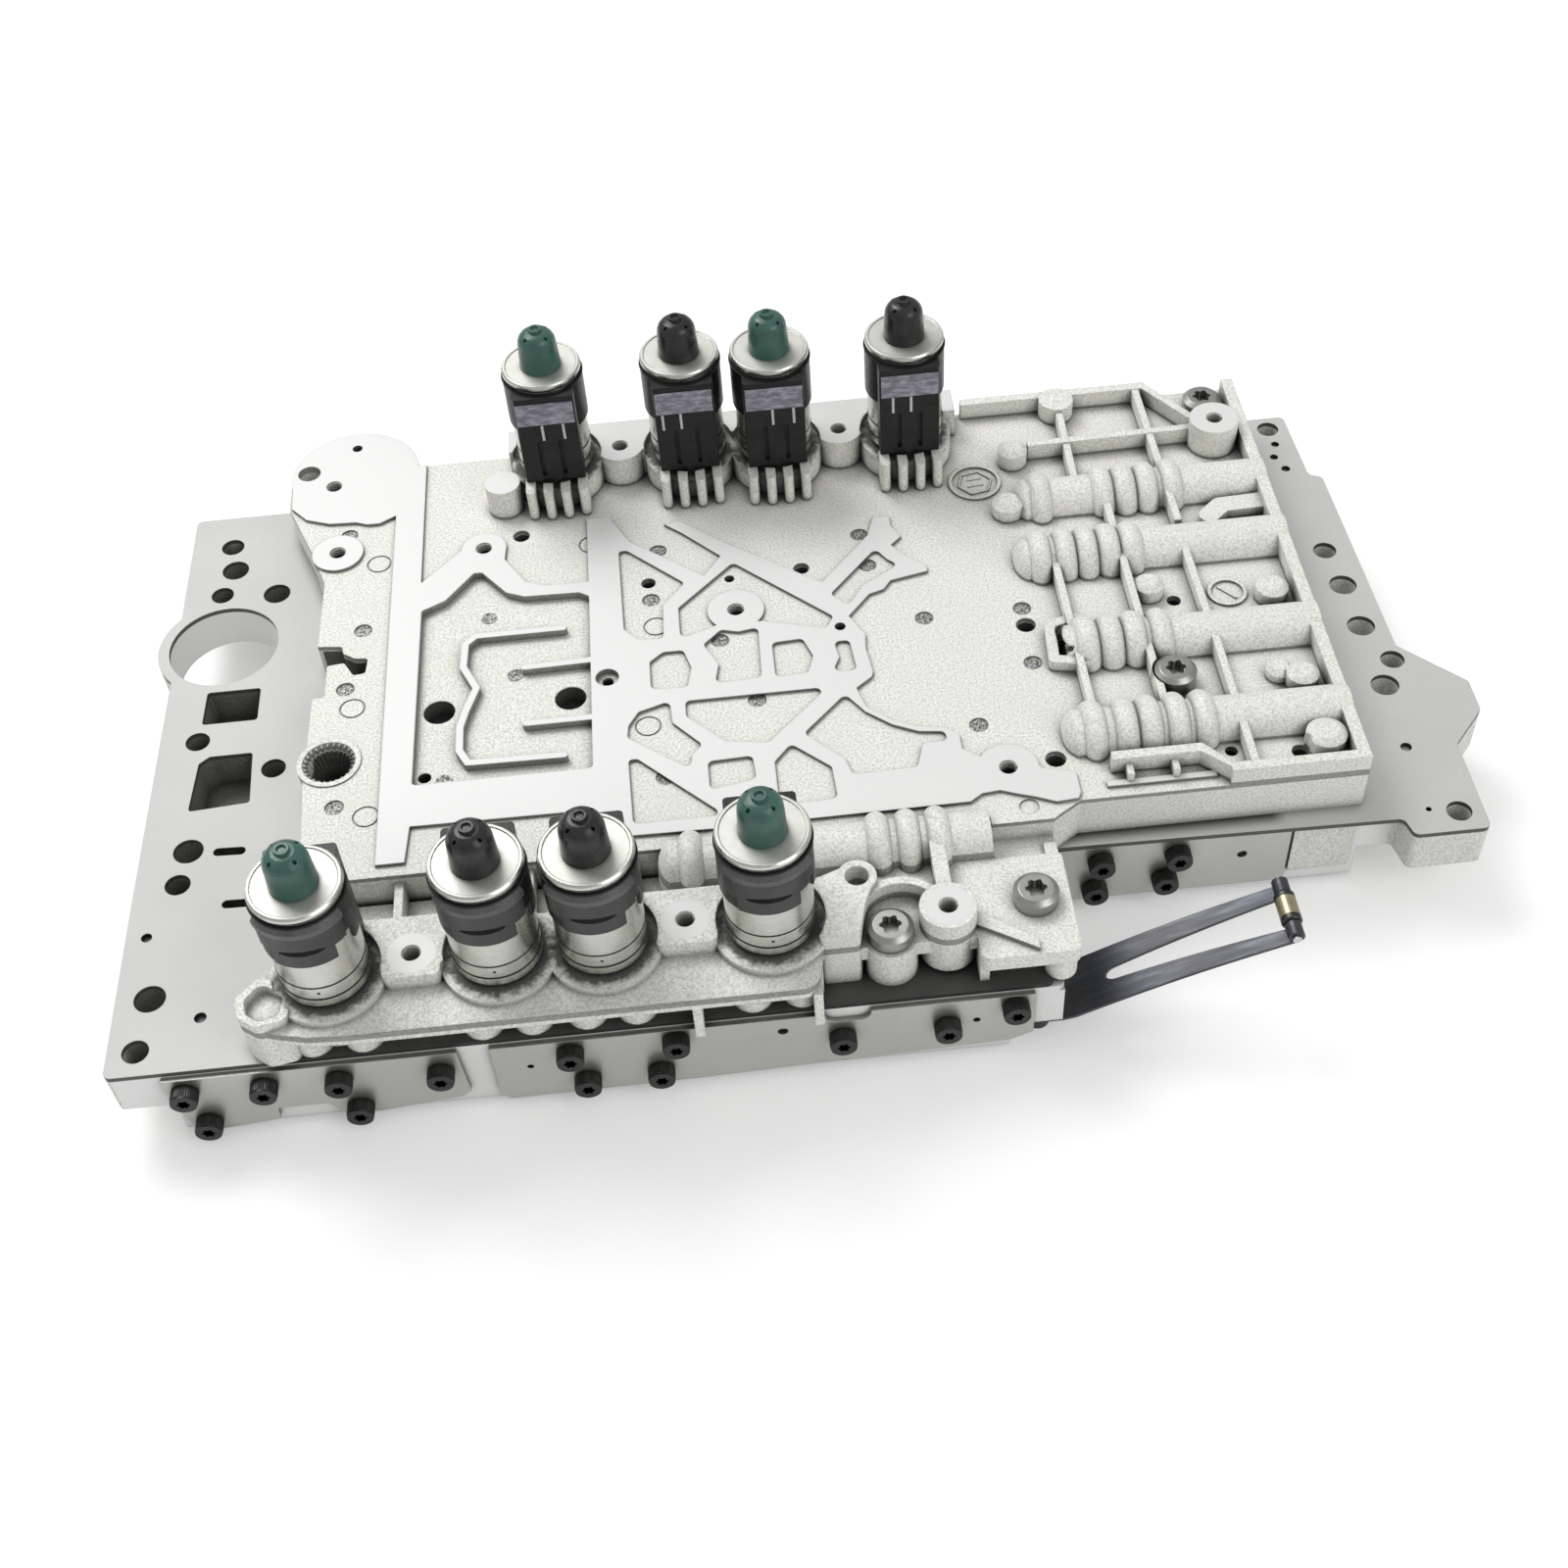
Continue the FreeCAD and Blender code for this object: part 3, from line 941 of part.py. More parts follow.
def detent_screws():
    screws = []
    seat = BLADE_TOP_Z - BLADE_T
    for x, y in DETENT_SCREWS:
        socket = hexalobe(1.75, 2.0)
        socket.rotate(V(0, 0, 0), V(1, 0, 0), 180)
        socket.translate(V(x, y, seat - M4_HEAD_H))
        screw = rod(x, y, seat - M4_HEAD_H, seat, M4_HEAD_R).fuse(rod(x, y, seat - 0.5, seat + 9, M4_R))
        screws.append(screw.cut(socket).removeSplitter())
    return Part.makeCompound(screws)


def spool_profile(start, end, land_r, stem_r):
    """Lands and stems of a spool from its blind end to its spring nose, as (axial, radius)."""
    points = [(start, 0), (start, stem_r - 0.6), (start + STUB_L, stem_r - 0.6)]
    here = start + STUB_L
    while end - here > LAND_L + 1:
        stop = here + LAND_L
        if end - stop < STEM_L + LAND_L:
            stop = end
        points += [(here, land_r), (stop, land_r)]
        here = stop
        if stop < end:
            points += [(stop, stem_r), (stop + STEM_L, stem_r)]
            here = stop + STEM_L
    return points + [(end, stem_r - 0.2), (end + NOSE_L, stem_r - 0.2), (end + NOSE_L, 0)]


def upper_spool(valve, z, end):
    spool_end = end - PLUG_INSET - PLUG_L - SPRING_L
    return spun_x(spool_profile(valve["start"], spool_end, LAND_R, STEM_R), valve["y"], z)


def lower_spool(x, face_y):
    """The profile is mirrored, so that the nose points at the cover."""
    back = face_y + LOWER_BORE_L
    front = face_y + LOWER_SPRING_L
    points = spool_profile(0, back - front, LOWER_BORE_R - RUN_CLEARANCE, STEM_R)
    return spun_y([(back - s, r) for s, r in points], x, LOWER_BORE_Z)


def coil_spring(length, r):
    """A coil spring that stands on the origin, along +Z, as tilted half turns that meet smoothly."""
    rise = (length - 2 * SPRING_WIRE_R) / (2 * SPRING_TURNS)
    half_turn_r = math.hypot(r, rise / 2)
    arcs = []
    for i in range(2 * SPRING_TURNS):
        side = 1 if i % 2 == 0 else -1
        z = SPRING_WIRE_R + i * rise
        via = V(0, side * half_turn_r, z + rise / 2)
        arcs.append(Part.Arc(V(side * r, 0, z), via, V(-side * r, 0, z + rise)).toShape())
    profile = Part.Wire(Part.makeCircle(SPRING_WIRE_R, V(r, 0, SPRING_WIRE_R), V(0, 1, 0)))
    return Part.Wire(arcs).makePipeShell([profile], True, False)


def upper_spring(valve, z, end):
    spring = coil_spring(SPRING_L, SPRING_R)
    spring.rotate(V(0, 0, 0), V(0, 1, 0), 90)
    spring.translate(V(end - PLUG_INSET - PLUG_L - SPRING_L, valve["y"], z))
    return spring


def lower_spring(x, face_y):
    spring = coil_spring(LOWER_SPRING_L, LOWER_SPRING_R)
    spring.rotate(V(0, 0, 0), V(1, 0, 0), -90)
    spring.translate(V(x, face_y, LOWER_BORE_Z))
    return spring


def bore_plugs():
    plugs = []
    for valve, z, end in all_upper_valves():
        face = end - PLUG_INSET
        r = BORE_R - RUN_CLEARANCE
        profile = [(face - PLUG_L, 0), (face - PLUG_L, r), (face - 0.6, r), (face, r - 0.6), (face, 2.6),
                   (face - 2.5, 2.2), (face - 2.5, 0)]
        plugs.append(spun_x(profile, valve["y"], z))
    return Part.makeCompound(plugs)


def retaining_pins():
    pins = []
    for valve, z, end in all_upper_valves():
        pins.append(rod(end - PLUG_INSET + PIN_R + FIT_GAP, valve["y"], 0, z + BORE_R + 0.6, PIN_R))
    return Part.makeCompound(pins)


def manual_valve():
    """Selector valve: three lands on a stem, and a grooved end outside for the selector lever."""
    tip = MANUAL_END + MANUAL_STICK_OUT
    start = MANUAL_START + 6 + MANUAL_STROKE + 2
    land = MANUAL_R
    stem = MANUAL_R - 2
    profile = [
        (start, 0), (start, land), (start + 12, land), (start + 12, stem), (start + 24, stem),
        (start + 24, land), (start + 36, land), (start + 36, stem), (start + 50, stem), (start + 50, land),
        (tip - 8, land), (tip - 8, stem), (tip - 3, stem), (tip - 3, land), (tip - 0.6, land),
        (tip, land - 0.6), (tip, 0)]
    return spun_x(profile, MANUAL_Y, MANUAL_Z)


def check_balls():
    floor = -PLATE_T - 2 * BALL_R - 0.2
    return Part.makeCompound([Part.makeSphere(BALL_R, V(x, y, floor + BALL_R)) for x, y in BALLS])


def dowel_pins():
    pins = []
    for x, y in DOWELS:
        profile = [(-PLATE_T - 6, 0), (-PLATE_T - 6, DOWEL_R - 0.5), (-PLATE_T - 5.5, DOWEL_R),
                   (4, DOWEL_R), (4.5, DOWEL_R - 0.5), (4.5, 0)]
        pins.append(spun_z(profile, x, y))
    return Part.makeCompound(pins)


def all_pieces():
    left = front_cover(LEFT_COVER, cover_holes(LEFT_SCREWS, []), None, 0)
    middle = front_cover(MIDDLE_COVER, cover_holes(MIDDLE_SCREWS, MIDDLE_COVER_HOLES), COVER_NOTCH, 0)
    right = front_cover(RIGHT_COVER, cover_holes(RIGHT_SCREWS, RIGHT_COVER_HOLES), None, RIGHT_FACE_Y)
    pieces = {
        "lower_housing": lower_housing(),
        "separator_plate": separator_plate(),
        "upper_housing": upper_housing(),
        "front_left_cover": left,
        "front_middle_cover": middle,
        "front_right_cover": right,
        "cover_screws": cover_screws(),
        "housing_screws": housing_screws(),
        "solenoid_o_rings": solenoid_o_rings(),
        "detent_spring": detent_spring(),
        "detent_pin": detent_pin(),
        "detent_roller": detent_roller(),
        "detent_screws": detent_screws(),
        "bore_plugs": bore_plugs(),
        "retaining_pins": retaining_pins(),
        "manual_valve": manual_valve(),
        "check_balls": check_balls(),
        "dowel_pins": dowel_pins()}
    for i, (x, y, seat, toward) in enumerate(solenoid_seats()):
        name = f"solenoid_{i + 1}"
        pieces[f"{name}_can"] = solenoid_can(x, y, seat)
        pieces[f"{name}_connector"] = solenoid_connector(x, y, seat, toward)
        pieces[f"{name}_cap"] = solenoid_cap(x, y, seat)
    for i, (valve, z, end) in enumerate(all_upper_valves()):
        pieces[f"upper_spool_{i + 1}"] = upper_spool(valve, z, end)
        pieces[f"upper_spring_{i + 1}"] = upper_spring(valve, z, end)
    for i, (x, face_y) in enumerate(LOWER_VALVES):
        pieces[f"lower_spool_{i + 1}"] = lower_spool(x, face_y)
        pieces[f"lower_spring_{i + 1}"] = lower_spring(x, face_y)
    return pieces


def main():
    os.makedirs("parts", exist_ok=True)
    for name, shape in all_pieces().items():
        shape.translate(V(-X_MID, -Y_MID, -FOOT_Z))
        shape.exportStep(f"parts/{name}.step")


main()
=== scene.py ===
import math

import bmesh
import bpy
from mathutils import Matrix, Vector


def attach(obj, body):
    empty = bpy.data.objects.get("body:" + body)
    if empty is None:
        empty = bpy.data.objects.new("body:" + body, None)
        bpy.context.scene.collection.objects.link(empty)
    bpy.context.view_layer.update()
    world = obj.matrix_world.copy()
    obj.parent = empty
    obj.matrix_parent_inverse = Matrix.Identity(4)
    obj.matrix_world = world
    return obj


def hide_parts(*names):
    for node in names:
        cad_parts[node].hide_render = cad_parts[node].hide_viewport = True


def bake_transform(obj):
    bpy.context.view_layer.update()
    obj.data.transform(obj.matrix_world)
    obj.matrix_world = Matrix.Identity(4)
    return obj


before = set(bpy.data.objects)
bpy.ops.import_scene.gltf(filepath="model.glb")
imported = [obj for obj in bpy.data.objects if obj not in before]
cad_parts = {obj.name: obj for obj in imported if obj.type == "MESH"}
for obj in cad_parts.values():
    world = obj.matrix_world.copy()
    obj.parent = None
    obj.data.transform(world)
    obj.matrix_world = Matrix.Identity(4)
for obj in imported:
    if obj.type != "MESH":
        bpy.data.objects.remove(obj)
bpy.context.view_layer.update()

# Sizes and places are in mm of the part's own drawing, whose origin is the front left corner of the
# plate's top face. The frame is in metres, and DRAWING_ORIGIN is that corner in mm of the frame.
MM = 0.001
DRAWING_ORIGIN = Vector((-190.05, -114.75, 28.0))
X, Y, Z = 0, 1, 2

# Camera of the photograph: focal length for a sensor 36 mm wide, place in mm of the frame, and its axes
LENS = 46.39
SENSOR = 36.0
EYE = Vector((-16.75, -415.45, 460.0))
VIEW_RIGHT = Vector((0.9949144, -0.08593461, -0.0525412))
VIEW_DOWN = Vector((-0.09925112, -0.74753528, -0.65676497))
VIEW_FORWARD = Vector((0.01716244, 0.6586397, -0.75226272))

# Heights of the machined faces
LEDGE_TOP = 24.5
SPOT_FACE_TOP = 20.0
WEB_TOP = 15.0
LOWER_TOP = -1.5
FLANGE_UNDERSIDE = -14.4

# Machined faces and their edges, seen from above
WEB_FRONT_Y = 45.55
LEFT_FACE_Y = 0.0
RIGHT_FACE_Y = 46.0
SPOT_FACES = [(83.0, 15.5), (153.5, 17.5), (221.0, 13.5)]
SPOT_FACE_R = 6.4
RING_AT = (16.3, 156.5)
RING_WALL_R = 16.9
RING_CLEAR_R = 17.2

# Solenoids 1 to 8: place, height of the seat, and the way the connector looks along Y
SEATS = [
    (61.2, 13.8, 17.0, 1), (105.2, 14.9, 17.0, 1), (132.2, 15.0, 17.0, 1), (175.4, 15.7, 17.0, 1),
    (123.1, 203.0, 22.0, -1), (165.0, 202.3, 22.0, -1), (192.2, 200.0, 22.0, -1), (233.3, 200.0, 22.0, -1)]
GREEN_CAPS = ("solenoid_1", "solenoid_4", "solenoid_5", "solenoid_7")


def place(x, y, z):
    """A point of the drawing, in mm, as a point of the frame, in metres."""
    return (DRAWING_ORIGIN + Vector((x, y, z))) * MM


# Node helpers

def blank_material(name):
    material = bpy.data.materials.new(name)
    material.use_nodes = True
    tree = material.node_tree
    tree.nodes.clear()
    output = tree.nodes.new("ShaderNodeOutputMaterial")
    shader = tree.nodes.new("ShaderNodeBsdfPrincipled")
    tree.links.new(shader.outputs[0], output.inputs[0])
    return material, tree, shader


def fill_socket(tree, socket, value):
    """Link the value to the socket if it is another node's output, otherwise set it."""
    if isinstance(value, bpy.types.NodeSocket):
        tree.links.new(value, socket)
    else:
        socket.default_value = value


def add(tree, kind, inputs=None, **settings):
    node = tree.nodes.new(kind)
    for key, value in settings.items():
        setattr(node, key, value)
    for key, value in (inputs or {}).items():
        fill_socket(tree, node.inputs[key], value)
    return node


def object_point(tree):
    return add(tree, "ShaderNodeTexCoord").outputs["Object"]


def stretched(tree, point, scale):
    return add(tree, "ShaderNodeVectorMath", {0: point, 1: scale}, operation="MULTIPLY").outputs[0]


def noise(tree, point, size_mm, detail, rough):
    """Noise whose largest features are about size_mm wide."""
    inputs = {"Vector": point, "Scale": 1 / (size_mm * MM), "Detail": detail, "Roughness": rough}
    return add(tree, "ShaderNodeTexNoise", inputs).outputs["Fac"]


def math_node(tree, operation, a, b=0.0, c=0.0):
    return add(tree, "ShaderNodeMath", {0: a, 1: b, 2: c}, operation=operation).outputs[0]


def both(tree, a, b):
    return math_node(tree, "MULTIPLY", a, b)


def either(tree, a, b):
    return math_node(tree, "MAXIMUM", a, b)


def outside(tree, mask):
    return math_node(tree, "SUBTRACT", 1.0, mask)


def span(tree, value, low, high, out_low, out_high):
    """The value, moved from the range low..high to out_low..out_high and clamped."""
    inputs = {"Value": value, "From Min": low, "From Max": high, "To Min": out_low, "To Max": out_high}
    return add(tree, "ShaderNodeMapRange", inputs).outputs[0]


def spread(tree, fac, out_low, out_high):
    """A noise, which hardly leaves 0.3..0.7, moved to out_low..out_high."""
    return span(tree, fac, 0.3, 0.7, out_low, out_high)


def darker(tree, mask, share):
    """1 outside the mask and the share inside it."""
    return span(tree, mask, 0.0, 1.0, 1.0, share)


def blend_colours(tree, share, a, b, mode="MIX"):
    node = add(tree, "ShaderNodeMix", data_type="RGBA", blend_type=mode)
    for index, value in ((0, share), (6, a), (7, b)):
        fill_socket(tree, node.inputs[index], value)
    return node.outputs[2]


def blend_values(tree, share, a, b):
    return add(tree, "ShaderNodeMix", {0: share, 2: a, 3: b}, data_type="FLOAT").outputs[0]


def shaded(tree, colour, share):
    return blend_colours(tree, 1.0, colour, share, mode="MULTIPLY")


def grey(level, warm=0.0):
    """A grey, yellower the warmer it is."""
    return (level, level, level * (1 - 2.2 * warm), 1.0)


def bumped(tree, height, distance_mm, normal=None):
    inputs = {"Height": height, "Distance": distance_mm * MM, "Strength": 1.0}
    if normal is not None:
        inputs["Normal"] = normal
    return add(tree, "ShaderNodeBump", inputs).outputs[0]


def soft_edges(tree, radius_mm):
    return add(tree, "ShaderNodeBevel", {"Radius": radius_mm * MM}, samples=4).outputs[0]


def axis_value(tree, point, axis):
    return add(tree, "ShaderNodeSeparateXYZ", {0: point}).outputs[axis]


def face_normal(tree):
    return add(tree, "ShaderNodeNewGeometry").outputs["True Normal"]


def facing(tree, axis, sign=1):
    """1 where the surface looks straight along an axis, otherwise 0."""
    value = axis_value(tree, face_normal(tree), axis)
    return math_node(tree, "GREATER_THAN", math_node(tree, "MULTIPLY", value, sign), 0.97)


def painted_crevice_shade(tree, reach_mm, shade):
    """1 on open ground, down to shade deep in a hole or a corner: painted shade."""
    node = add(tree, "ShaderNodeAmbientOcclusion", {"Distance": reach_mm * MM}, samples=6)
    return span(tree, node.outputs["AO"], 0.12, 0.86, shade, 1.0)


# Masks at places of the drawing

def inside(tree, point, axis, low, high, soft):
    """1 where the coordinate lies between low and high, fading over soft mm at each end."""
    value = axis_value(tree, point, axis)
    start = DRAWING_ORIGIN[axis] + low
    end = DRAWING_ORIGIN[axis] + high
    rise = span(tree, value, (start - soft) * MM, (start + soft) * MM, 0, 1)
    fall = span(tree, value, (end - soft) * MM, (end + soft) * MM, 1, 0)
    return both(tree, rise, fall)


def at_level(tree, point, axis, level):
    """1 on the plane where the coordinate is level, within 0.06 mm."""
    plane = (DRAWING_ORIGIN[axis] + level) * MM
    return math_node(tree, "COMPARE", axis_value(tree, point, axis), plane, 0.06 * MM)


def beyond(tree, point, axis, level):
    return math_node(tree, "GREATER_THAN", axis_value(tree, point, axis), (DRAWING_ORIGIN[axis] + level) * MM)


def axis_distance(tree, point, x, y):
    """Distance from the upright line through a place, in metres."""
    centre = tuple(place(x, y, 0))[:2] + (0.0,)
    flat = stretched(tree, point, (1.0, 1.0, 0.0))
    return add(tree, "ShaderNodeVectorMath", {0: flat, 1: centre}, operation="DISTANCE").outputs["Value"]


def near_axis(tree, point, x, y, radius):
    """1 within a radius of the upright line through a place."""
    return math_node(tree, "LESS_THAN", axis_distance(tree, point, x, y), radius * MM)


def in_plan(tree, point, low, high, soft=2.0):
    """1 over a rectangle seen from above, given by its front left and back right corners."""
    along = inside(tree, point, X, low[0], high[0], soft)
    across = inside(tree, point, Y, low[1], high[1], soft)
    return both(tree, along, across)


def in_any_plan(tree, point, areas, soft=2.0):
    """1 over any of some rectangles seen from above."""
    found = in_plan(tree, point, *areas[0], soft)
    for low, high in areas[1:]:
        found = either(tree, found, in_plan(tree, point, low, high, soft))
    return found


# Painted shade: plan areas as front left and back right corners

# Areas of the plate darkened as painted shade
SHADED_PLATE_AREAS = [((46.0, -2.0), (249.0, 24.0)), ((62.0, 34.0), (240.0, 196.0)), ((248.0, 46.5), (318.0, 196.0))]
# Passages of the lower casting darkened as painted shade
SHADED_PASSAGES = [((4.0, 8.0), (246.0, 206.0)), ((243.0, 52.0), (322.0, 206.0))]
DECK_AREA = ((50.8, 50.5), (338.0, 205.0))
WEB_WALL = (12.6, 14.97)
DECK_HOLES_BELOW = 12.2
# Painted contact shadow round each solenoid's seat: its radii, how far below the seat it reaches, and its
# ragged edge
SEAT_SHADE_R = (12.4, 14.6)
SEAT_SHADE_DROP = 2.0
SEAT_SHADE_RAGGED = 1.2


def painted_plate_shade(tree, point):
    """Painted shade on the plate: in the gap under the front shelf, below the casting and along its wall."""
    return darker(tree, in_any_plan(tree, point, SHADED_PLATE_AREAS), 0.10)


def painted_passage_shade(tree, point):
    """Painted shade on the walls of the lower casting's passages under the plate; its ring stays bright."""
    under = in_any_plan(tree, point, SHADED_PASSAGES, 1.0)
    under = both(tree, under, outside(tree, near_axis(tree, point, *RING_AT, RING_CLEAR_R)))
    under = both(tree, under, beyond(tree, point, Z, FLANGE_UNDERSIDE))
    return darker(tree, under, 0.28)


def painted_web_hole_and_seat_shade(tree, point):
    """Painted shade: dark side walls of the milled web, dark drilled holes and a painted contact shadow round
    every solenoid.
    """
    height = inside(tree, point, Z, *WEB_WALL, 0.02)
    upright = math_node(tree, "ABSOLUTE", axis_value(tree, face_normal(tree), Z))
    steep = math_node(tree, "LESS_THAN", upright, 0.5)
    share = darker(tree, both(tree, height, steep), 0.42)
    deep = outside(tree, beyond(tree, point, Z, DECK_HOLES_BELOW))
    holes = both(tree, deep, in_plan(tree, point, *DECK_AREA, 0.2))
    share = both(tree, share, darker(tree, holes, 0.14))
    ragged = spread(tree, noise(tree, point, 3.0, 2.0, 0.6), -SEAT_SHADE_RAGGED * MM, SEAT_SHADE_RAGGED * MM)
    # Painted contact shadow round the foot of each solenoid
    for x, y, seat, _ in SEATS:
        away = math_node(tree, "ADD", axis_distance(tree, point, x, y), ragged)
        ring = span(tree, away, SEAT_SHADE_R[0] * MM, SEAT_SHADE_R[1] * MM, 1.0, 0.0)
        ring = both(tree, ring, beyond(tree, point, Z, seat - SEAT_SHADE_DROP))
        share = both(tree, share, darker(tree, ring, 0.22))
    return share


# Machined faces

def upper_mask(tree, point):
    """Faces of the upper casting that a mill has cut: the web, the ledge and the shelf's spot faces."""
    web = both(tree, at_level(tree, point, Z, WEB_TOP), beyond(tree, point, Y, WEB_FRONT_Y))
    pads = at_level(tree, point, Z, LEDGE_TOP)
    for x, y in SPOT_FACES:
        spot = both(tree, near_axis(tree, point, x, y, SPOT_FACE_R), at_level(tree, point, Z, SPOT_FACE_TOP))
        pads = either(tree, pads, spot)
    return both(tree, either(tree, web, pads), facing(tree, Z))


def lower_mask(tree, point):
    """Front faces of the lower casting, its top and the wall of its large ring."""
    top = both(tree, facing(tree, Z), at_level(tree, point, Z, LOWER_TOP))
    fronts = either(tree, at_level(tree, point, Y, LEFT_FACE_Y), at_level(tree, point, Y, RIGHT_FACE_Y))
    front = both(tree, facing(tree, Y, -1), fronts)
    return either(tree, either(tree, top, front), near_axis(tree, point, *RING_AT, RING_WALL_R))


# Materials

def mixed_casting(name, mask_builder, shade_builder, cast_level, milled_level, warm):
    """Sand-grained cast aluminium whose machined faces are smooth and paler."""
    material, tree, shader = blank_material(name)
    point = object_point(tree)
    mask = mask_builder(tree, point)
    grain = noise(tree, point, 0.7, 3.0, 0.75)
    blotch = noise(tree, point, 9.0, 3.0, 0.5)
    pit = grey(cast_level * 0.74, warm * 1.5)
    crest = grey(cast_level * 1.10, warm * 0.7)
    stain = grey(cast_level * 0.88, warm * 1.6)
    cast = blend_colours(tree, span(tree, grain, 0.38, 0.58, 0, 1), pit, crest)
    cast = blend_colours(tree, spread(tree, blotch, 0, 0.30), cast, stain)
    lines = noise(tree, stretched(tree, point, (0.08, 1.0, 1.0)), 0.35, 1.0, 0.4)
    milled = blend_colours(tree, lines, grey(milled_level * 0.96, warm * 0.3), grey(milled_level))
    # The shade builder's painted shade and painted shade in holes and corners darken the colour
    colour = shaded(tree, blend_colours(tree, mask, cast, milled), shade_builder(tree, point))
    tree.links.new(shaded(tree, colour, painted_crevice_shade(tree, 4.5, 0.04)), shader.inputs["Base Color"])
    rough = blend_values(tree, mask, spread(tree, grain, 0.80, 0.64), 0.50)
    tree.links.new(rough, shader.inputs["Roughness"])
    tree.links.new(blend_values(tree, mask, 0.35, 0.12), shader.inputs["Metallic"])
    height = both(tree, grain, outside(tree, mask))
    tree.links.new(bumped(tree, height, 0.18, soft_edges(tree, 0.55)), shader.inputs["Normal"])
    return material


def sheet_steel(name, level, warm, speck_mm, rough, metallic, bevel_mm, edge_shade_level=None):
    """Rolled sheet with a fine satin speckle; with an edge shade level its edges are dark with painted shade,
    and it is darker under other parts with painted shade.
    """
    material, tree, shader = blank_material(name)
    point = object_point(tree)
    speck = noise(tree, point, speck_mm, 2.0, 0.6)
    cloud = noise(tree, point, 26.0, 2.0, 0.5)
    colour = blend_colours(tree, span(tree, speck, 0.35, 0.65, 0, 1), grey(level * 0.92, warm),
                           grey(level * 1.05, warm))
    stain = grey(level * 0.84, warm * 1.5)
    colour = blend_colours(tree, span(tree, cloud, 0.35, 0.7, 0, 0.35), colour, stain)
    # Edges darker than the flat faces, and darker areas under other parts: painted shade
    if edge_shade_level is not None:
        flat = either(tree, facing(tree, Z), facing(tree, Z, -1))
        colour = blend_colours(tree, flat, grey(edge_shade_level, 0.06), colour)
        colour = shaded(tree, colour, painted_plate_shade(tree, point))
    # Painted shade in holes and corners
    tree.links.new(shaded(tree, colour, painted_crevice_shade(tree, 5.0, 0.04)), shader.inputs["Base Color"])
    tree.links.new(spread(tree, speck, rough * 0.88, rough * 1.12), shader.inputs["Roughness"])
    shader.inputs["Metallic"].default_value = metallic
    tree.links.new(bumped(tree, speck, 0.03, soft_edges(tree, bevel_mm)), shader.inputs["Normal"])
    return material


def turned_steel(name, level, warm, rough, bevel_mm, spots=0.4, top_rough=None):
    """Turned or drawn steel: fine rings round the piece's upright axis, and its flat top may be duller."""
    material, tree, shader = blank_material(name)
    point = object_point(tree)
    rings = noise(tree, stretched(tree, point, (0.15, 0.15, 1.0)), 0.35, 1.0, 0.4)
    cloud = noise(tree, point, 6.0, 2.0, 0.5)
    colour = blend_colours(tree, rings, grey(level * 0.88, warm), grey(level * 1.06, warm))
    stain = grey(level * 0.75, warm)
    colour = blend_colours(tree, span(tree, cloud, 0.35, 0.7, 0, spots), colour, stain)
    # Painted shade in holes and corners
    tree.links.new(shaded(tree, colour, painted_crevice_shade(tree, 2.0, 0.1)), shader.inputs["Base Color"])
    skin = spread(tree, rings, rough * 0.9, rough * 1.1)
    if top_rough is not None:
        skin = blend_values(tree, facing(tree, Z), skin, top_rough)
    tree.links.new(skin, shader.inputs["Roughness"])
    shader.inputs["Metallic"].default_value = 1.0
    tree.links.new(bumped(tree, rings, 0.02, soft_edges(tree, bevel_mm)), shader.inputs["Normal"])
    return material


def moulded_plastic(name, colour, rough, bevel_mm=0.3, sheen=0.5):
    """Moulded plastic or rubber with a faint orange-peel skin and a slightly worn tone."""
    material, tree, shader = blank_material(name)
    point = object_point(tree)
    skin = noise(tree, point, 0.9, 2.0, 0.5)
    cloud = noise(tree, point, 5.0, 2.0, 0.5)
    pale = tuple(min(c * 1.35 + 0.004, 1.0) for c in colour[:3]) + (1.0,)
    worn = span(tree, cloud, 0.35, 0.75, 0, 1)
    tree.links.new(blend_colours(tree, worn, colour, pale), shader.inputs["Base Color"])
    tree.links.new(spread(tree, skin, rough * 0.85, rough * 1.2), shader.inputs["Roughness"])
    shader.inputs["Specular IOR Level"].default_value = sheen
    tree.links.new(bumped(tree, skin, 0.05, soft_edges(tree, bevel_mm)), shader.inputs["Normal"])
    return material


def blued_steel():
    """Oil-blued spring steel with long pale rubs along the blade."""
    material, tree, shader = blank_material("blued_spring_steel")
    point = object_point(tree)
    rub = noise(tree, stretched(tree, point, (0.12, 1.0, 0.3)), 2.2, 3.0, 0.6)
    tint = noise(tree, point, 14.0, 2.0, 0.5)
    dark = blend_colours(tree, tint, (0.055, 0.062, 0.075, 1), (0.085, 0.080, 0.082, 1))
    colour = blend_colours(tree, span(tree, rub, 0.48, 0.75, 0, 0.5), dark, (0.11, 0.125, 0.145, 1))
    tree.links.new(colour, shader.inputs["Base Color"])
    tree.links.new(spread(tree, rub, 0.50, 0.38), shader.inputs["Roughness"])
    shader.inputs["Metallic"].default_value = 0.85
    tree.links.new(bumped(tree, rub, 0.02, soft_edges(tree, 0.2)), shader.inputs["Normal"])
    return material


def label_film():
    """Bare label film: violet grey, scuffed paler in streaks."""
    material, tree, shader = blank_material("blank_label_film")
    point = object_point(tree)
    scuff = noise(tree, stretched(tree, point, (0.5, 1.0, 1.4)), 1.6, 3.0, 0.65)
    film = (0.155, 0.145, 0.185, 1)
    streak = (0.36, 0.35, 0.42, 1)
    colour = blend_colours(tree, span(tree, scuff, 0.42, 0.68, 0, 1), film, streak)
    tree.links.new(colour, shader.inputs["Base Color"])
    tree.links.new(spread(tree, scuff, 0.5, 0.32), shader.inputs["Roughness"])
    tree.links.new(bumped(tree, scuff, 0.02, soft_edges(tree, 0.15)), shader.inputs["Normal"])
    return material


BUSH_HALF = 2.9


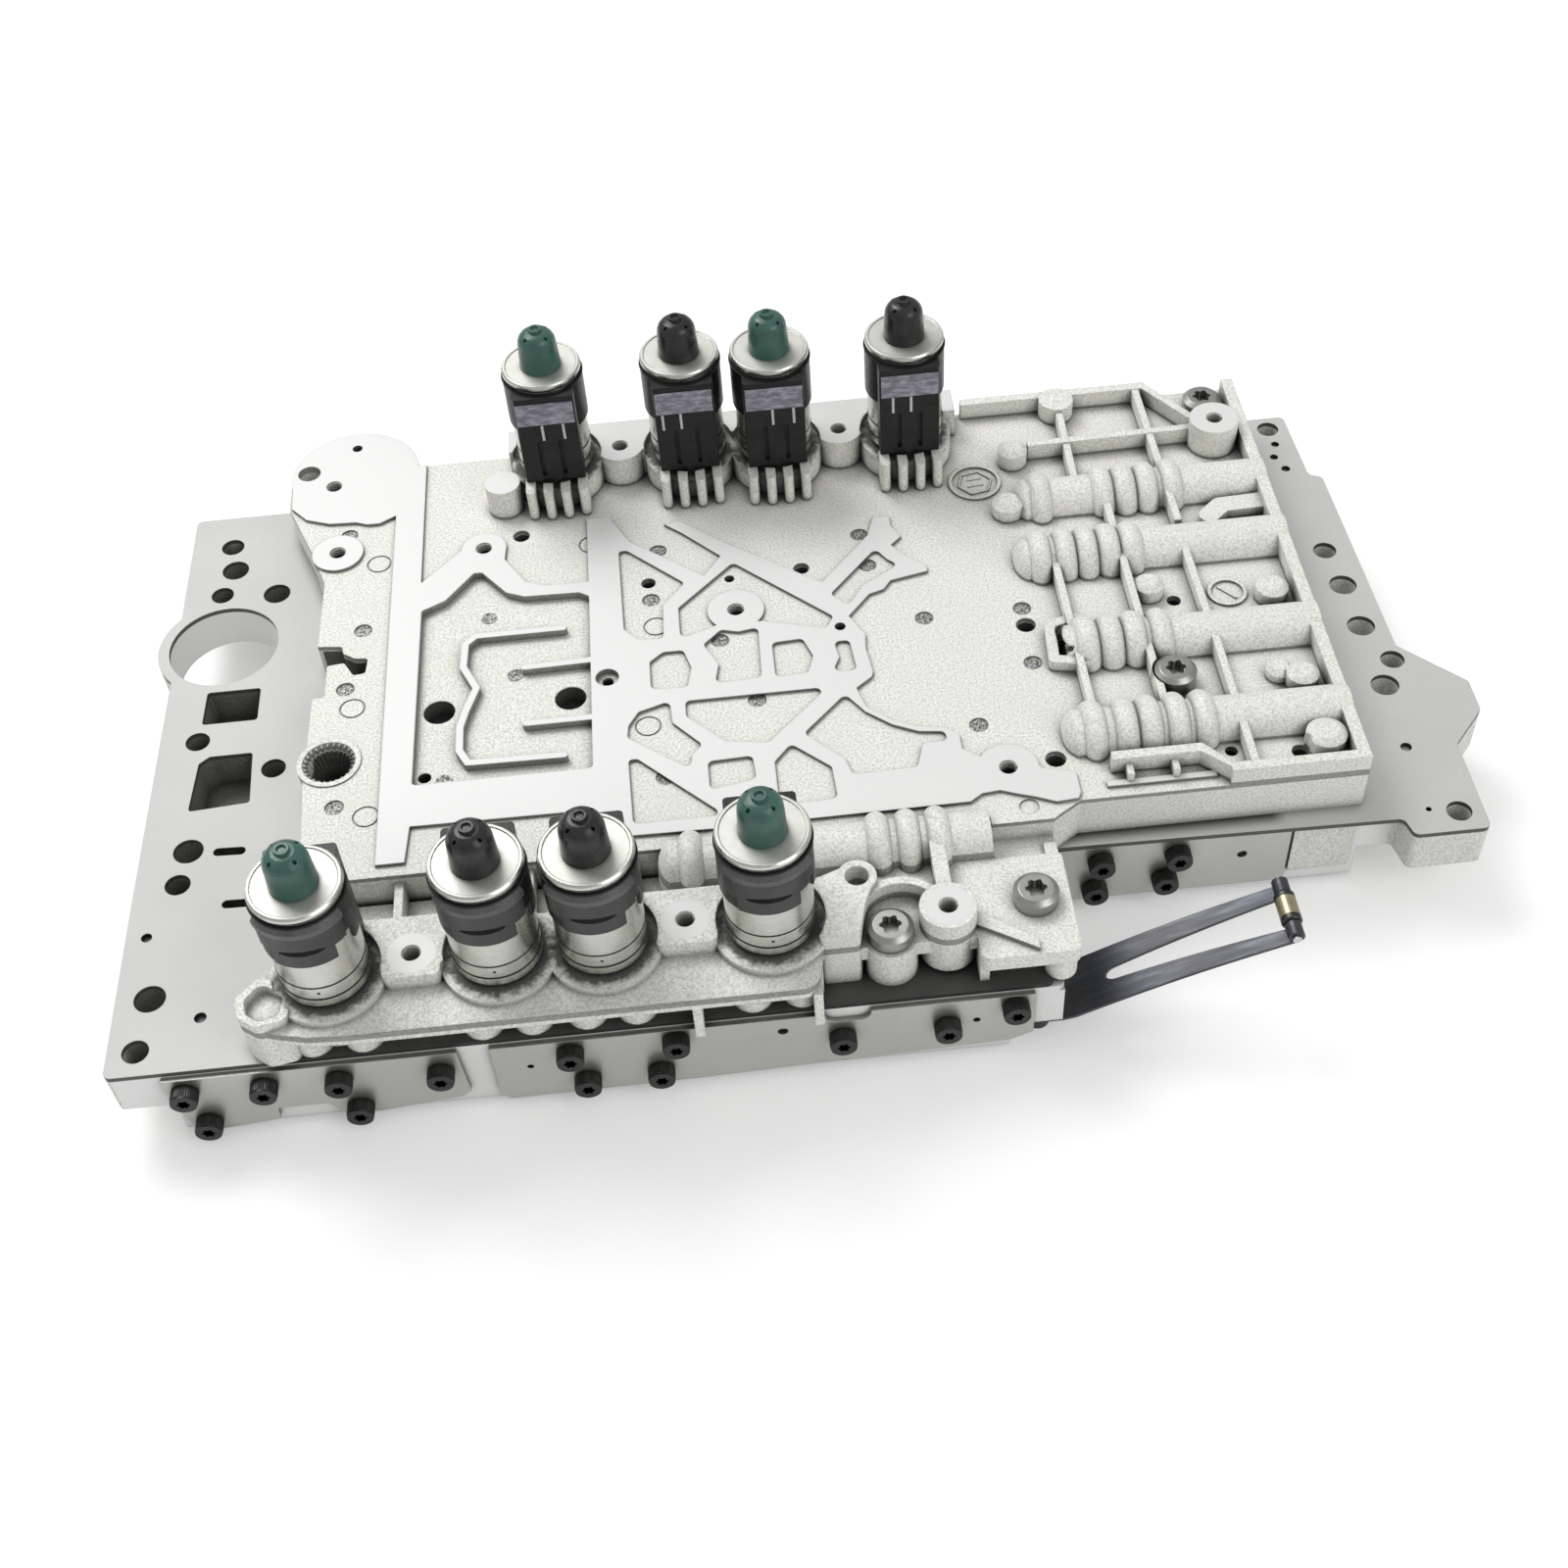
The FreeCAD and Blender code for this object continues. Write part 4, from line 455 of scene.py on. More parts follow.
def roller_metal():
    """The roller: a bronze bush between two dark steel ends."""
    material, tree, shader = blank_material("roller_bronze")
    point = object_point(tree)
    middle = place(0, BLADE["y"], 0).y
    away = math_node(tree, "ABSOLUTE", math_node(tree, "SUBTRACT", axis_value(tree, point, Y), middle))
    band = math_node(tree, "LESS_THAN", away, BUSH_HALF * MM)
    rings = noise(tree, stretched(tree, point, (0.1, 1.0, 0.1)), 0.3, 1.0, 0.4)
    bronze = blend_colours(tree, rings, (0.30, 0.26, 0.16, 1), (0.46, 0.41, 0.28, 1))
    dark = blend_colours(tree, rings, (0.035, 0.036, 0.037, 1), (0.075, 0.076, 0.075, 1))
    tree.links.new(blend_colours(tree, band, dark, bronze), shader.inputs["Base Color"])
    tree.links.new(spread(tree, rings, 0.28, 0.42), shader.inputs["Roughness"])
    shader.inputs["Metallic"].default_value = 0.9
    tree.links.new(bumped(tree, rings, 0.015, soft_edges(tree, 0.15)), shader.inputs["Normal"])
    return material


def ejector_material():
    """Torn, shiny skin where an ejector pin left the casting."""
    material, tree, shader = blank_material("ejector_mark_skin")
    torn = noise(tree, object_point(tree), 0.8, 3.0, 0.75)
    colour = blend_colours(tree, span(tree, torn, 0.42, 0.60, 0, 1), grey(0.07, 0.03), grey(0.55, 0.01))
    tree.links.new(colour, shader.inputs["Base Color"])
    tree.links.new(spread(tree, torn, 0.6, 0.3), shader.inputs["Roughness"])
    shader.inputs["Metallic"].default_value = 0.6
    tree.links.new(bumped(tree, torn, 0.3), shader.inputs["Normal"])
    return material


FLOOR_LIFT = 0.25


def floor_material():
    """White paper whose tone the camera and mirrors see lifted, so that only the shadow shows."""
    material, tree, shader = blank_material("floor_paper")
    tree.nodes.remove(shader)
    fibre = noise(tree, object_point(tree), 3.0, 2.0, 0.5)
    white = blend_colours(tree, fibre, grey(0.80), grey(0.82))
    paper = add(tree, "ShaderNodeBsdfDiffuse", {"Color": white}).outputs[0]
    rays = add(tree, "ShaderNodeLightPath")
    seen = either(tree, rays.outputs["Is Camera Ray"], rays.outputs["Is Glossy Ray"])
    seen = either(tree, seen, rays.outputs["Is Transmission Ray"])
    strength = math_node(tree, "MULTIPLY", seen, FLOOR_LIFT)
    lift = add(tree, "ShaderNodeEmission", {"Color": grey(1.0), "Strength": strength}).outputs[0]
    total = add(tree, "ShaderNodeAddShader", {0: paper, 1: lift})
    output = [n for n in tree.nodes if n.type == "OUTPUT_MATERIAL"][0]
    tree.links.new(total.outputs[0], output.inputs[0])
    return material


def dress(name, material):
    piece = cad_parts[name]
    for slot in piece.material_slots:
        slot.material = material
    if not piece.material_slots:
        piece.data.materials.append(material)


def dress_cad_nodes():
    """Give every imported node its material, and return those that the scene's own pieces share."""
    cast = mixed_casting("cast_aluminium_upper", upper_mask, painted_web_hole_and_seat_shade, 0.80, 0.72, 0.025)
    lower = mixed_casting("cast_aluminium_lower", lower_mask, painted_passage_shade, 0.72, 0.80, 0.025)
    plate = sheet_steel("plate_steel_satin", 0.54, 0.01, 0.5, 0.55, 0.10, 0.3, edge_shade_level=0.07)
    cover = sheet_steel("cover_steel_satin", 0.50, 0.03, 0.35, 0.36, 0.9, 0.35)
    black_screw = turned_steel("black_oxide_steel", 0.055, 0.0, 0.38, 0.2)
    pan_screw = turned_steel("phosphated_steel", 0.40, 0.02, 0.40, 0.4)
    can = turned_steel("drawn_can_steel", 0.62, 0.03, 0.28, 0.25, spots=0.25, top_rough=0.55)
    bright = turned_steel("bright_ground_steel", 0.60, 0.0, 0.22, 0.2)
    valve = turned_steel("spool_aluminium", 0.62, 0.01, 0.35, 0.2)
    rubber = moulded_plastic("o_ring_rubber_black", (0.012, 0.012, 0.012, 1), 0.6, 0.1, 0.3)
    connector = moulded_plastic("connector_plastic_black", (0.008, 0.008, 0.009, 1), 0.36, sheen=0.28)
    green = moulded_plastic("cap_plastic_green", (0.027, 0.085, 0.067, 1), 0.32)
    black = moulded_plastic("cap_plastic_black", (0.012, 0.012, 0.013, 1), 0.28, sheen=0.4)
    spring = turned_steel("spring_wire_steel", 0.32, 0.0, 0.35, 0.05)
    blued = blued_steel()
    roller = roller_metal()
    plan = {
        "upper_housing": cast, "lower_housing": lower, "separator_plate": plate,
        "front_left_cover": cover, "front_middle_cover": cover, "front_right_cover": cover,
        "cover_screws": black_screw, "detent_screws": black_screw, "housing_screws": pan_screw,
        "detent_spring": blued, "detent_pin": bright, "detent_roller": roller,
        "solenoid_o_rings": rubber, "bore_plugs": valve, "retaining_pins": bright,
        "manual_valve": bright, "check_balls": bright, "dowel_pins": bright}
    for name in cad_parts:
        if name in plan:
            dress(name, plan[name])
        elif name.endswith("_can"):
            dress(name, can)
        elif name.endswith("_connector"):
            dress(name, connector)
        elif name.endswith("_cap"):
            dress(name, green if name.removesuffix("_cap") in GREEN_CAPS else black)
        elif "spool" in name:
            dress(name, valve)
        else:
            dress(name, spring)
    return {"black_screw": black_screw, "cast": cast, "blued": blued, "rubber": rubber, "spring": spring}


# Mesh helpers

def mesh_object(name, bm, material, smooth=True):
    mesh = bpy.data.meshes.new(name)
    bmesh.ops.recalc_face_normals(bm, faces=bm.faces)
    bm.to_mesh(mesh)
    bm.free()
    for face in mesh.polygons:
        face.use_smooth = smooth
    piece = bpy.data.objects.new(name, mesh)
    bpy.context.scene.collection.objects.link(piece)
    mesh.materials.append(material)
    return piece


def ring_of(bm, centre, u, v, radii):
    """A closed ring of vertices round centre, in the plane of u and v, one for each radius in metres."""
    count = len(radii)
    verts = []
    for i, r in enumerate(radii):
        a = 2 * math.pi * i / count
        verts.append(bm.verts.new(centre + u * (r * math.cos(a)) + v * (r * math.sin(a))))
    return verts


def bridge(bm, ring_a, ring_b):
    count = len(ring_a)
    for i in range(count):
        j = (i + 1) % count
        bm.faces.new((ring_a[i], ring_a[j], ring_b[j], ring_b[i]))


def bridge_all(bm, rings):
    for a, b in zip(rings, rings[1:]):
        bridge(bm, a, b)


def close_tube(bm, rings):
    """Faces along the rings, and one over each end."""
    bridge_all(bm, rings)
    bm.faces.new(rings[0])
    bm.faces.new(rings[-1])


def open_strip(bm, rows):
    """Faces between rows of three vertices, two for each step."""
    for a, b in zip(rows, rows[1:]):
        for k in (0, 1):
            bm.faces.new((a[k], a[k + 1], b[k + 1], b[k]))


# Knurling round the heads of the cover screws

HEAD_R = 3.5
HEAD_LENGTH = 4.0
COVER_T = 1.5
KNURL_H = 0.14
KNURL_LIFT = 0.02
KNURL_RIDGES = 36
KNURL_START = 0.15
KNURL_FULL = 0.25
KNURL_FADE = 0.85
KNURL_END = 0.55
LEFT_SCREWS = [(19.6, -7.2), (22.3, -21.6), (40.1, -7.7), (59.5, -8.0), (62.4, -21.6), (85.8, -9.5)]
MIDDLE_SCREWS = [
    (120.0, -6.6), (123.1, -19.6), (147.7, -5.8), (142.7, -18.9),
    (191.2, -11.9), (218.9, -11.6), (236.8, -6.0)]
RIGHT_SCREWS = [(268.0, -7.5), (266.8, -19.0), (289.5, -7.5), (286.5, -17.5)]


def knurled_sleeve(bm, x, z, face_y):
    """A ridged sleeve that hugs a cap screw's head from near the cover to near its rim."""
    start = face_y - COVER_T - KNURL_START
    stations = [(start, 0.0), (start - KNURL_FULL, 1.0), (start - HEAD_LENGTH + KNURL_FADE, 1.0),
                (start - HEAD_LENGTH + KNURL_END, 0.0)]
    rings = []
    for y, share in stations:
        radii = []
        for i in range(KNURL_RIDGES * 2):
            crest = share if i % 2 == 0 else 0.0
            radii.append((HEAD_R + KNURL_LIFT + KNURL_H * crest) * MM)
        rings.append(ring_of(bm, place(x, y, z), Vector((1, 0, 0)), Vector((0, 0, 1)), radii))
    bridge_all(bm, rings)


def knurls(material):
    bm = bmesh.new()
    for x, z in LEFT_SCREWS + MIDDLE_SCREWS:
        knurled_sleeve(bm, x, z, LEFT_FACE_Y)
    for x, z in RIGHT_SCREWS:
        knurled_sleeve(bm, x, z, RIGHT_FACE_Y)
    piece = mesh_object("cover_screw_knurls", bm, material, smooth=False)
    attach(piece, "housing")


# Threads in the tapped holes

THREADED = [
    (143.3, 204.5, LEDGE_TOP), (212.5, 202.5, LEDGE_TOP), (53.5, 177.5, WEB_TOP), (99.0, 173.0, WEB_TOP),
    (174.5, 135.0, WEB_TOP), (244.5, 62.5, WEB_TOP), *((x, y, SPOT_FACE_TOP) for x, y in SPOT_FACES),
    (50.5, 209.5, WEB_TOP), (329.5, 190.0, LEDGE_TOP)]
TAP_R = 2.5
TAP_MOUTH = 0.5
THREAD_PITCH = 1.0
THREAD_TURNS = 9
THREAD_STEPS = 24
THREAD_H = 0.42
THREAD_SKIN = 0.01


def thread_lining(bm, x, y, top):
    """One helical ridge of a tapped hole, from just under its mouth down."""
    profile = ((TAP_R - THREAD_SKIN, THREAD_H), (TAP_R - THREAD_H, 0.0), (TAP_R - THREAD_SKIN, -THREAD_H))
    rows = []
    for i in range(THREAD_TURNS * THREAD_STEPS + 1):
        a = 2 * math.pi * i / THREAD_STEPS
        drop = TAP_MOUTH + THREAD_PITCH * i / THREAD_STEPS
        row = []
        for r, dz in profile:
            row.append(bm.verts.new(place(x + r * math.cos(a), y + r * math.sin(a), top - drop + dz)))
        rows.append(row)
    open_strip(bm, rows)


def threads(material):
    bm = bmesh.new()
    for x, y, top in THREADED:
        thread_lining(bm, x, y, top)
    piece = mesh_object("tapped_hole_threads", bm, material)
    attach(piece, "housing")


# Flutes in the countersunk hole at the left of the upper casting

SPLINE_HOLE = (56.0, 90.0)
SPLINE_TOP = 14.4
SPLINE_OUTER_R = 7.6
SPLINE_INNER_R = 4.4
SPLINE_DEPTH = 6.0
FLUTES = 26
FLUTE_SHARE = 0.24
FLUTE_SUNK = 0.05
# Share of the way down the cone, and height of the ridge there
FLUTE_SECTIONS = ((0.02, 0.1), (0.12, 0.75), (0.9, 0.75), (0.98, 0.2))


def spline_flutes(material):
    """Tapered ridges that run down the cone, one between each pair of flutes."""
    bm = bmesh.new()
    x, y = SPLINE_HOLE
    half = FLUTE_SHARE * 2 * math.pi / FLUTES
    for k in range(FLUTES):
        a = 2 * math.pi * k / FLUTES
        rows = []
        for share, rise in FLUTE_SECTIONS:
            r = SPLINE_OUTER_R + (SPLINE_INNER_R - SPLINE_OUTER_R) * share
            z = SPLINE_TOP - SPLINE_DEPTH * share
            row = []
            for turn, inset in ((-half, -FLUTE_SUNK), (0.0, rise), (half, -FLUTE_SUNK)):
                out = r - inset
                row.append(bm.verts.new(place(x + out * math.cos(a + turn), y + out * math.sin(a + turn), z)))
            rows.append(row)
        open_strip(bm, rows)
    piece = mesh_object("spline_hole_flutes", bm, material, smooth=False)
    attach(piece, "housing")


# Trim of the solenoids: heights are above the seat, angles are half widths in degrees

CONNECTOR_FACE = 13.6
CONNECTOR_HALF_W = 9.2
CAN_R = 11.5
COLLAR_R = 12.2
COLLAR_SUNK = 0.2
TAB_PROUD = 0.5
TAB_STEP = 0.05
TAB_PANELS = ((19.9, 38.0), (24.6, 56.0))
TAB_TOP = 31.4
RIM_LOW = 31.5
RIM_HIGH = 33.2
RIM_TOP = 34.6
RIM_PROUD = 0.35
RIM_ANGLE = 58.0
LENS_MIDDLE = 25.4
LENS_BOW = 0.85
LENS_ANGLE = 27.0
LENS_R = (COLLAR_R + 0.4, COLLAR_R + 0.6)
DIMPLE_LOW = 7.0
DIMPLE_H = 0.7
DIMPLE_ANGLE = 1.8
DIMPLE_R = (CAN_R - 0.1, CAN_R + 0.03)
LABEL_LOW = 25.3
LABEL_HIGH = 33.3
LABEL_T = 0.28
LABEL_MARGIN = 0.5
LABEL_CHAMFER = 0.12
CONTACT_LOW = 19.3
CONTACT_HIGH = 25.1
CONTACT_HALF_W = 0.42
CONTACT_SUNK = 0.6
CONTACT_PROUD = 0.15
CONTACT_CHAMFER = 0.08
# Contact edges that the photo shows, from the middle of the connector; the others get the plain pair
CONTACTS = {5: (-1.5, 4.9), 6: (-6.8, -1.3), 7: (-0.7, 5.7), 8: (-5.1, 0.4)}
PLAIN_CONTACTS = (-3.0, 3.0)


def slab(bm, low, high, chamfer):
    """A closed block whose two long faces along Y have chamfered rims."""
    x0, y0, z0 = low
    x1, y1, z1 = high
    rings = []
    for y, inset in ((y0, chamfer), (y0 + chamfer, 0), (y1 - chamfer, 0), (y1, chamfer)):
        corners = ((x0 + inset, z0 + inset), (x1 - inset, z0 + inset),
                   (x1 - inset, z1 - inset), (x0 + inset, z1 - inset))
        rings.append([bm.verts.new(place(x, y, z)) for x, z in corners])
    close_tube(bm, rings)


def curved_section(radii, low, high):
    """A section of a curved panel, as its four corners (radius, height)."""
    inner, outer = radii
    return [(inner, low), (outer, low), (outer, high), (inner, high)]


def collar_panel(bm, x, y, side, profile, half_angle, steps=16):
    """A panel that follows the collar: profile gives (radius, height) at a share of the half angle."""
    columns = []
    for i in range(steps + 1):
        share = -1 + 2 * i / steps
        a = side * math.pi / 2 + share * math.radians(half_angle)
        points = [(x + r * math.cos(a), y + r * math.sin(a), z) for r, z in profile(share)]
        columns.append([bm.verts.new(place(*p)) for p in points])
    close_tube(bm, columns)


def solenoid_trim(number, x, y, seat, toward, looks):
    """The trim of one solenoid: collar tab and rim, a black sheet as painted shadow in the tab's slot and a
    dimple of the can, the bare label and the contact edges.
    """
    name = f"solenoid_{number}"
    back = -toward
    sunk = COLLAR_R - COLLAR_SUNK
    tab = bmesh.new()
    r = COLLAR_R + TAB_PROUD
    for low, angle in TAB_PANELS:
        band = curved_section((sunk, r), seat + low, seat + TAB_TOP)
        collar_panel(tab, x, y, back, lambda share: band, angle)
        r += TAB_STEP
    piece = mesh_object(f"{name}_collar_tab", tab, looks["tab"], smooth=False)
    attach(piece, "housing")

    rim = bmesh.new()
    lip = [(sunk, seat + RIM_LOW), (r + RIM_PROUD, seat + RIM_LOW), (r + RIM_PROUD, seat + RIM_HIGH),
           (COLLAR_R, seat + RIM_TOP)]
    collar_panel(rim, x, y, back, lambda share: lip, RIM_ANGLE)
    piece = mesh_object(f"{name}_collar_rim", rim, looks["rim"], smooth=False)
    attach(piece, "housing")

    def lens(share):
        bow = LENS_BOW * math.sqrt(max(1 - share * share, 0.0004))
        return curved_section(LENS_R, seat + LENS_MIDDLE - bow, seat + LENS_MIDDLE + bow)

    dent = curved_section(DIMPLE_R, seat + DIMPLE_LOW, seat + DIMPLE_LOW + DIMPLE_H)

    # A black sheet over the tab's slot and over a dimple of the can: painted shadow in them
    slot = bmesh.new()
    collar_panel(slot, x, y, back, lens, LENS_ANGLE)
    collar_panel(slot, x, y, back, lambda share: dent, DIMPLE_ANGLE, steps=2)
    piece = mesh_object(f"{name}_tab_slot_painted_shadow", slot, looks["painted_slot_shadow"], smooth=False)
    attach(piece, "housing")

    label = bmesh.new()
    face = y + toward * CONNECTOR_FACE
    near, far = sorted((face, face + toward * LABEL_T))
    w = CONNECTOR_HALF_W - LABEL_MARGIN
    slab(label, (x - w, near, seat + LABEL_LOW), (x + w, far, seat + LABEL_HIGH), LABEL_CHAMFER)
    piece = mesh_object(f"{name}_blank_label", label, looks["label"], smooth=False)
    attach(piece, "housing")

    contacts = bmesh.new()
    near, far = sorted((face - toward * CONTACT_SUNK, face + toward * CONTACT_PROUD))
    for dx in CONTACTS.get(number, PLAIN_CONTACTS):
        low = (x + dx - CONTACT_HALF_W, near, seat + CONTACT_LOW)
        high = (x + dx + CONTACT_HALF_W, far, seat + CONTACT_HIGH)
        slab(contacts, low, high, CONTACT_CHAMFER)
    piece = mesh_object(f"{name}_contact_edges", contacts, looks["contact"], smooth=False)
    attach(piece, "housing")


def dress_solenoids():
    looks = {
        "tab": moulded_plastic("collar_tab_plastic", (0.019, 0.019, 0.020, 1), 0.32, 0.25),
        # The rim's grey, paler than the tab's, is a painted highlight along its sloped top edge
        "rim": moulded_plastic("collar_rim_plastic", (0.065, 0.065, 0.067, 1), 0.28, 0.25),
        "painted_slot_shadow": moulded_plastic("slot_shadow_plastic", (0.004, 0.004, 0.004, 1), 0.8, 0.05, 0.2),
        "label": label_film(),
        "contact": turned_steel("contact_tin", 0.62, 0.0, 0.35, 0.1)}
    for i, (x, y, seat, toward) in enumerate(SEATS):
        solenoid_trim(i + 1, x, y, seat, toward, looks)


SEAL_STEPS = 48
SEAL_SIDES = 8
# The third ring, under the end disc, is a black ring that stands for the disc's shadow: painted shadow
# Height above the seat, radius of the ring and half thickness
SEALS_AND_DISC_SHADOW = ((4.8, CAN_R - 0.3, 0.5), (9.5, CAN_R - 0.2, 0.36), (34.9, COLLAR_R - 0.05, 0.32))


def torus_ring(bm, x, y, z, r, thickness):
    rings = []
    for k in range(SEAL_SIDES):
        a = 2 * math.pi * k / SEAL_SIDES
        radii = [(r + thickness * math.cos(a)) * MM] * SEAL_STEPS
        centre = place(x, y, z + thickness * math.sin(a))
        rings.append(ring_of(bm, centre, Vector((1, 0, 0)), Vector((0, 1, 0)), radii))
    bridge_all(bm, rings + rings[:1])


def seals_and_disc_shadow_ring(material):
    """Black sealing rings that lie in the two grooves of every can, and a black ring under its end disc as a
    painted shadow of the disc.
    """
    bm = bmesh.new()
    for x, y, seat, _ in SEATS:
        for height, r, thickness in SEALS_AND_DISC_SHADOW:
            torus_ring(bm, x, y, seat + height, r, thickness)
    piece = mesh_object("solenoid_seals_and_disc_shadow_ring", bm, material)
    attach(piece, "housing")


# Marks that the die left in the upper casting

EJECTOR_R = 2.5
EJECTOR_STEPS = 28
# Share of the radius, and height above the floor
EJECTOR_RINGS = ((1.0, 0.0), (0.92, 0.10), (0.7, 0.04), (0.35, 0.10))
EJECTORS = [
    (56.5, 186.0), (63.0, 142.5), (59.0, 118.5), (58.5, 73.0), (152.5, 165.0), (149.5, 143.5),
    (169.0, 123.5), (178.0, 98.0), (190.5, 87.0), (150.5, 72.0), (214.5, 163.5), (215.5, 149.5),
    (229.5, 124.5), (258.5, 124.5), (258.0, 102.0), (239.0, 80.0), (109.0, 70.0)]
RECESS_EJECTORS = [(100.5, 144.0), (108.5, 119.0), (88.5, 80.0)]
SINK_FLOOR = 13.53
RECESS_FLOOR = 12.53


def ejector_marks():
    """Thin torn discs with a low rim, on the floor of each sink of the deck and of the recess."""
    bm = bmesh.new()
    spots = [(x, y, SINK_FLOOR) for x, y in EJECTORS] + [(x, y, RECESS_FLOOR) for x, y in RECESS_EJECTORS]
    for x, y, z in spots:
        rings = []
        for share, rise in EJECTOR_RINGS:
            radii = [EJECTOR_R * share * MM] * EJECTOR_STEPS
            rings.append(ring_of(bm, place(x, y, z + rise), Vector((1, 0, 0)), Vector((0, 1, 0)), radii))
        bridge_all(bm, rings)
        bm.faces.new(rings[-1])
    piece = mesh_object("ejector_marks", bm, ejector_material())
    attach(piece, "housing")


MARK_FOOT = 13.98
MARK_TOP = 14.5
LINE_TOP = 14.3
HEXAGON_AT = (253.0, 182.0)
HEXAGON_R = 5.4
HEXAGON_TURN = 12
HEXAGON_W = 0.8
HEXAGON_LINES = (((-2.4, -1.5), (2.6, -0.9)), ((-2.2, 1.6), (2.3, 2.0)))
HEXAGON_LINE_W = 0.6
BAR_AT = (319.0, 122.5)
BAR = ((-2.2, 2.6), (2.2, -2.6))
BAR_W = 1.0
RIDGE_TOP_SHARE = 0.6


def ridge(bm, p, q, width, top):
    """A straight raised line of the casting from p to q, narrower at its top."""
    along = Vector((q[0] - p[0], q[1] - p[1], 0)).normalized()
    side = Vector((-along.y, along.x, 0)) * (width / 2)
    rings = []
    for z, share in ((MARK_FOOT, 1.0), (top, RIDGE_TOP_SHARE)):
        corners = []
        for end, sign in ((p, 1), (q, 1), (q, -1), (p, -1)):
            corner = place(end[0] + side.x * sign * share, end[1] + side.y * sign * share, z)
            corners.append(bm.verts.new(corner))
        rings.append(corners)
    bridge(bm, rings[0], rings[1])
    bm.faces.new(rings[1])


def casting_marks(material):
    """The hexagon and its lines inside the larger core ring, and the slanted bar inside the smaller one."""
    bm = bmesh.new()
    x, y = HEXAGON_AT
    corners = []
    for k in range(6):
        a = math.radians(60 * k + HEXAGON_TURN)
        corners.append((x + HEXAGON_R * math.cos(a), y + HEXAGON_R * math.sin(a)))
    for p, q in zip(corners, corners[1:] + corners[:1]):
        ridge(bm, p, q, HEXAGON_W, MARK_TOP)
    for p, q in HEXAGON_LINES:
        ridge(bm, (x + p[0], y + p[1]), (x + q[0], y + q[1]), HEXAGON_LINE_W, LINE_TOP)
    x, y = BAR_AT
    p, q = BAR
    ridge(bm, (x + p[0], y + p[1]), (x + q[0], y + q[1]), BAR_W, MARK_TOP)
    piece = mesh_object("core_ring_marks", bm, material, smooth=False)
    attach(piece, "housing")


# Detent blade, bent as one piece; lengths along the blade start at its root

BLADE = {"t": 1.0, "half": 8.5, "end_half": 9.2, "y": 8.8, "root_x": 252.0, "top_z": -17.0, "rise": 24.0,
         "length": 63.0, "fork": 12.0, "fork_half": 1.8, "fork_end": 5.0, "eye_r": 2.2, "bow": 1.1}
CLAMP_STATIONS = (-15.0, -9.0, -4.0, -1.5)
ARM_START = 1.5
ARM_STEPS = 40
FORK_NOSE = 2.6
NOSE_STEPS = 8
NOSE_CLEAR = 0.2
EYE_STEPS = 14
EYE_START = -90
EYE_TURN = 292
EYE_STEP_LENGTH = 0.5


def arm_stations():
    """Lengths of the sections along the sloping arm, closer together where the fork opens."""
    run = BLADE["length"] - ARM_START
    even = [ARM_START + run * i / ARM_STEPS for i in range(ARM_STEPS + 1)]
    turns = [math.pi / 2 * k / NOSE_STEPS for k in range(NOSE_STEPS + 1)]
    nose = [BLADE["fork"] + FORK_NOSE * (1 - math.cos(turn)) for turn in turns]
    low = nose[0] - NOSE_CLEAR
    high = nose[-1] + NOSE_CLEAR
    return sorted([s for s in even if not low < s < high] + nose)


def blade_line():
    """Stations of the blade's upper face in its own plane, as (length along, point, outward normal)."""
    root = Vector((BLADE["root_x"], 0, BLADE["top_z"]))
    rows = []
    for s in CLAMP_STATIONS:
        rows.append((s, root + Vector((s, 0, 0)), Vector((0, 0, 1))))
    a = math.radians(BLADE["rise"])
    along = Vector((math.cos(a), 0, math.sin(a)))
    up = Vector((-math.sin(a), 0, math.cos(a)))
    for s in arm_stations():
        share = (s - ARM_START) / (BLADE["length"] - ARM_START)
        bow = BLADE["bow"] * math.sin(math.pi * share)
        slope = BLADE["bow"] * math.pi / BLADE["length"] * math.cos(math.pi * share)
        normal = (up - along * slope).normalized()
        rows.append((s, root + along * s + up * bow, normal))
    inner = BLADE["eye_r"] - BLADE["t"]
    centre = root + along * BLADE["length"] + up * inner
    for i in range(1, EYE_STEPS + 1):
        turn = math.radians(EYE_START + EYE_TURN * i / EYE_STEPS)
        outward = along * math.cos(turn) + up * math.sin(turn)
        rows.append((BLADE["length"] + i * EYE_STEP_LENGTH, centre + outward * inner, -outward))
    return rows


def fork_gap(s):
    """Half width of the opening between the prongs at length s."""
    if s <= BLADE["fork"]:
        return 0.0
    run = s - BLADE["fork"]
    share = run / (BLADE["length"] - BLADE["fork"])
    straight = BLADE["fork_half"] + (BLADE["fork_end"] - BLADE["fork_half"]) * min(share, 1.0)
    opened = min(run / FORK_NOSE, 1.0)
    return straight * math.sqrt(opened * (2 - opened))


def blade_half(s):
    share = min(max(s / BLADE["length"], 0.0), 1.0)
    return BLADE["half"] + (BLADE["end_half"] - BLADE["half"]) * share


def detent_blade(material):
    bm = bmesh.new()
    rows = blade_line()
    t = BLADE["t"]
    for side in (-1, 1):
        loops = []
        for s, point, normal in rows:
            outer = side * blade_half(s)
            inner = side * fork_gap(s)
            corners = []
            for w, depth in ((inner, 0.0), (outer, 0.0), (outer, t), (inner, t)):
                p = point - normal * depth
                corners.append(bm.verts.new(place(p.x, BLADE["y"] + w, p.z)))
            loops.append(corners)
        close_tube(bm, loops)
    piece = mesh_object("detent_blade", bm, material, smooth=False)
    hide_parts("detent_spring")
    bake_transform(piece)
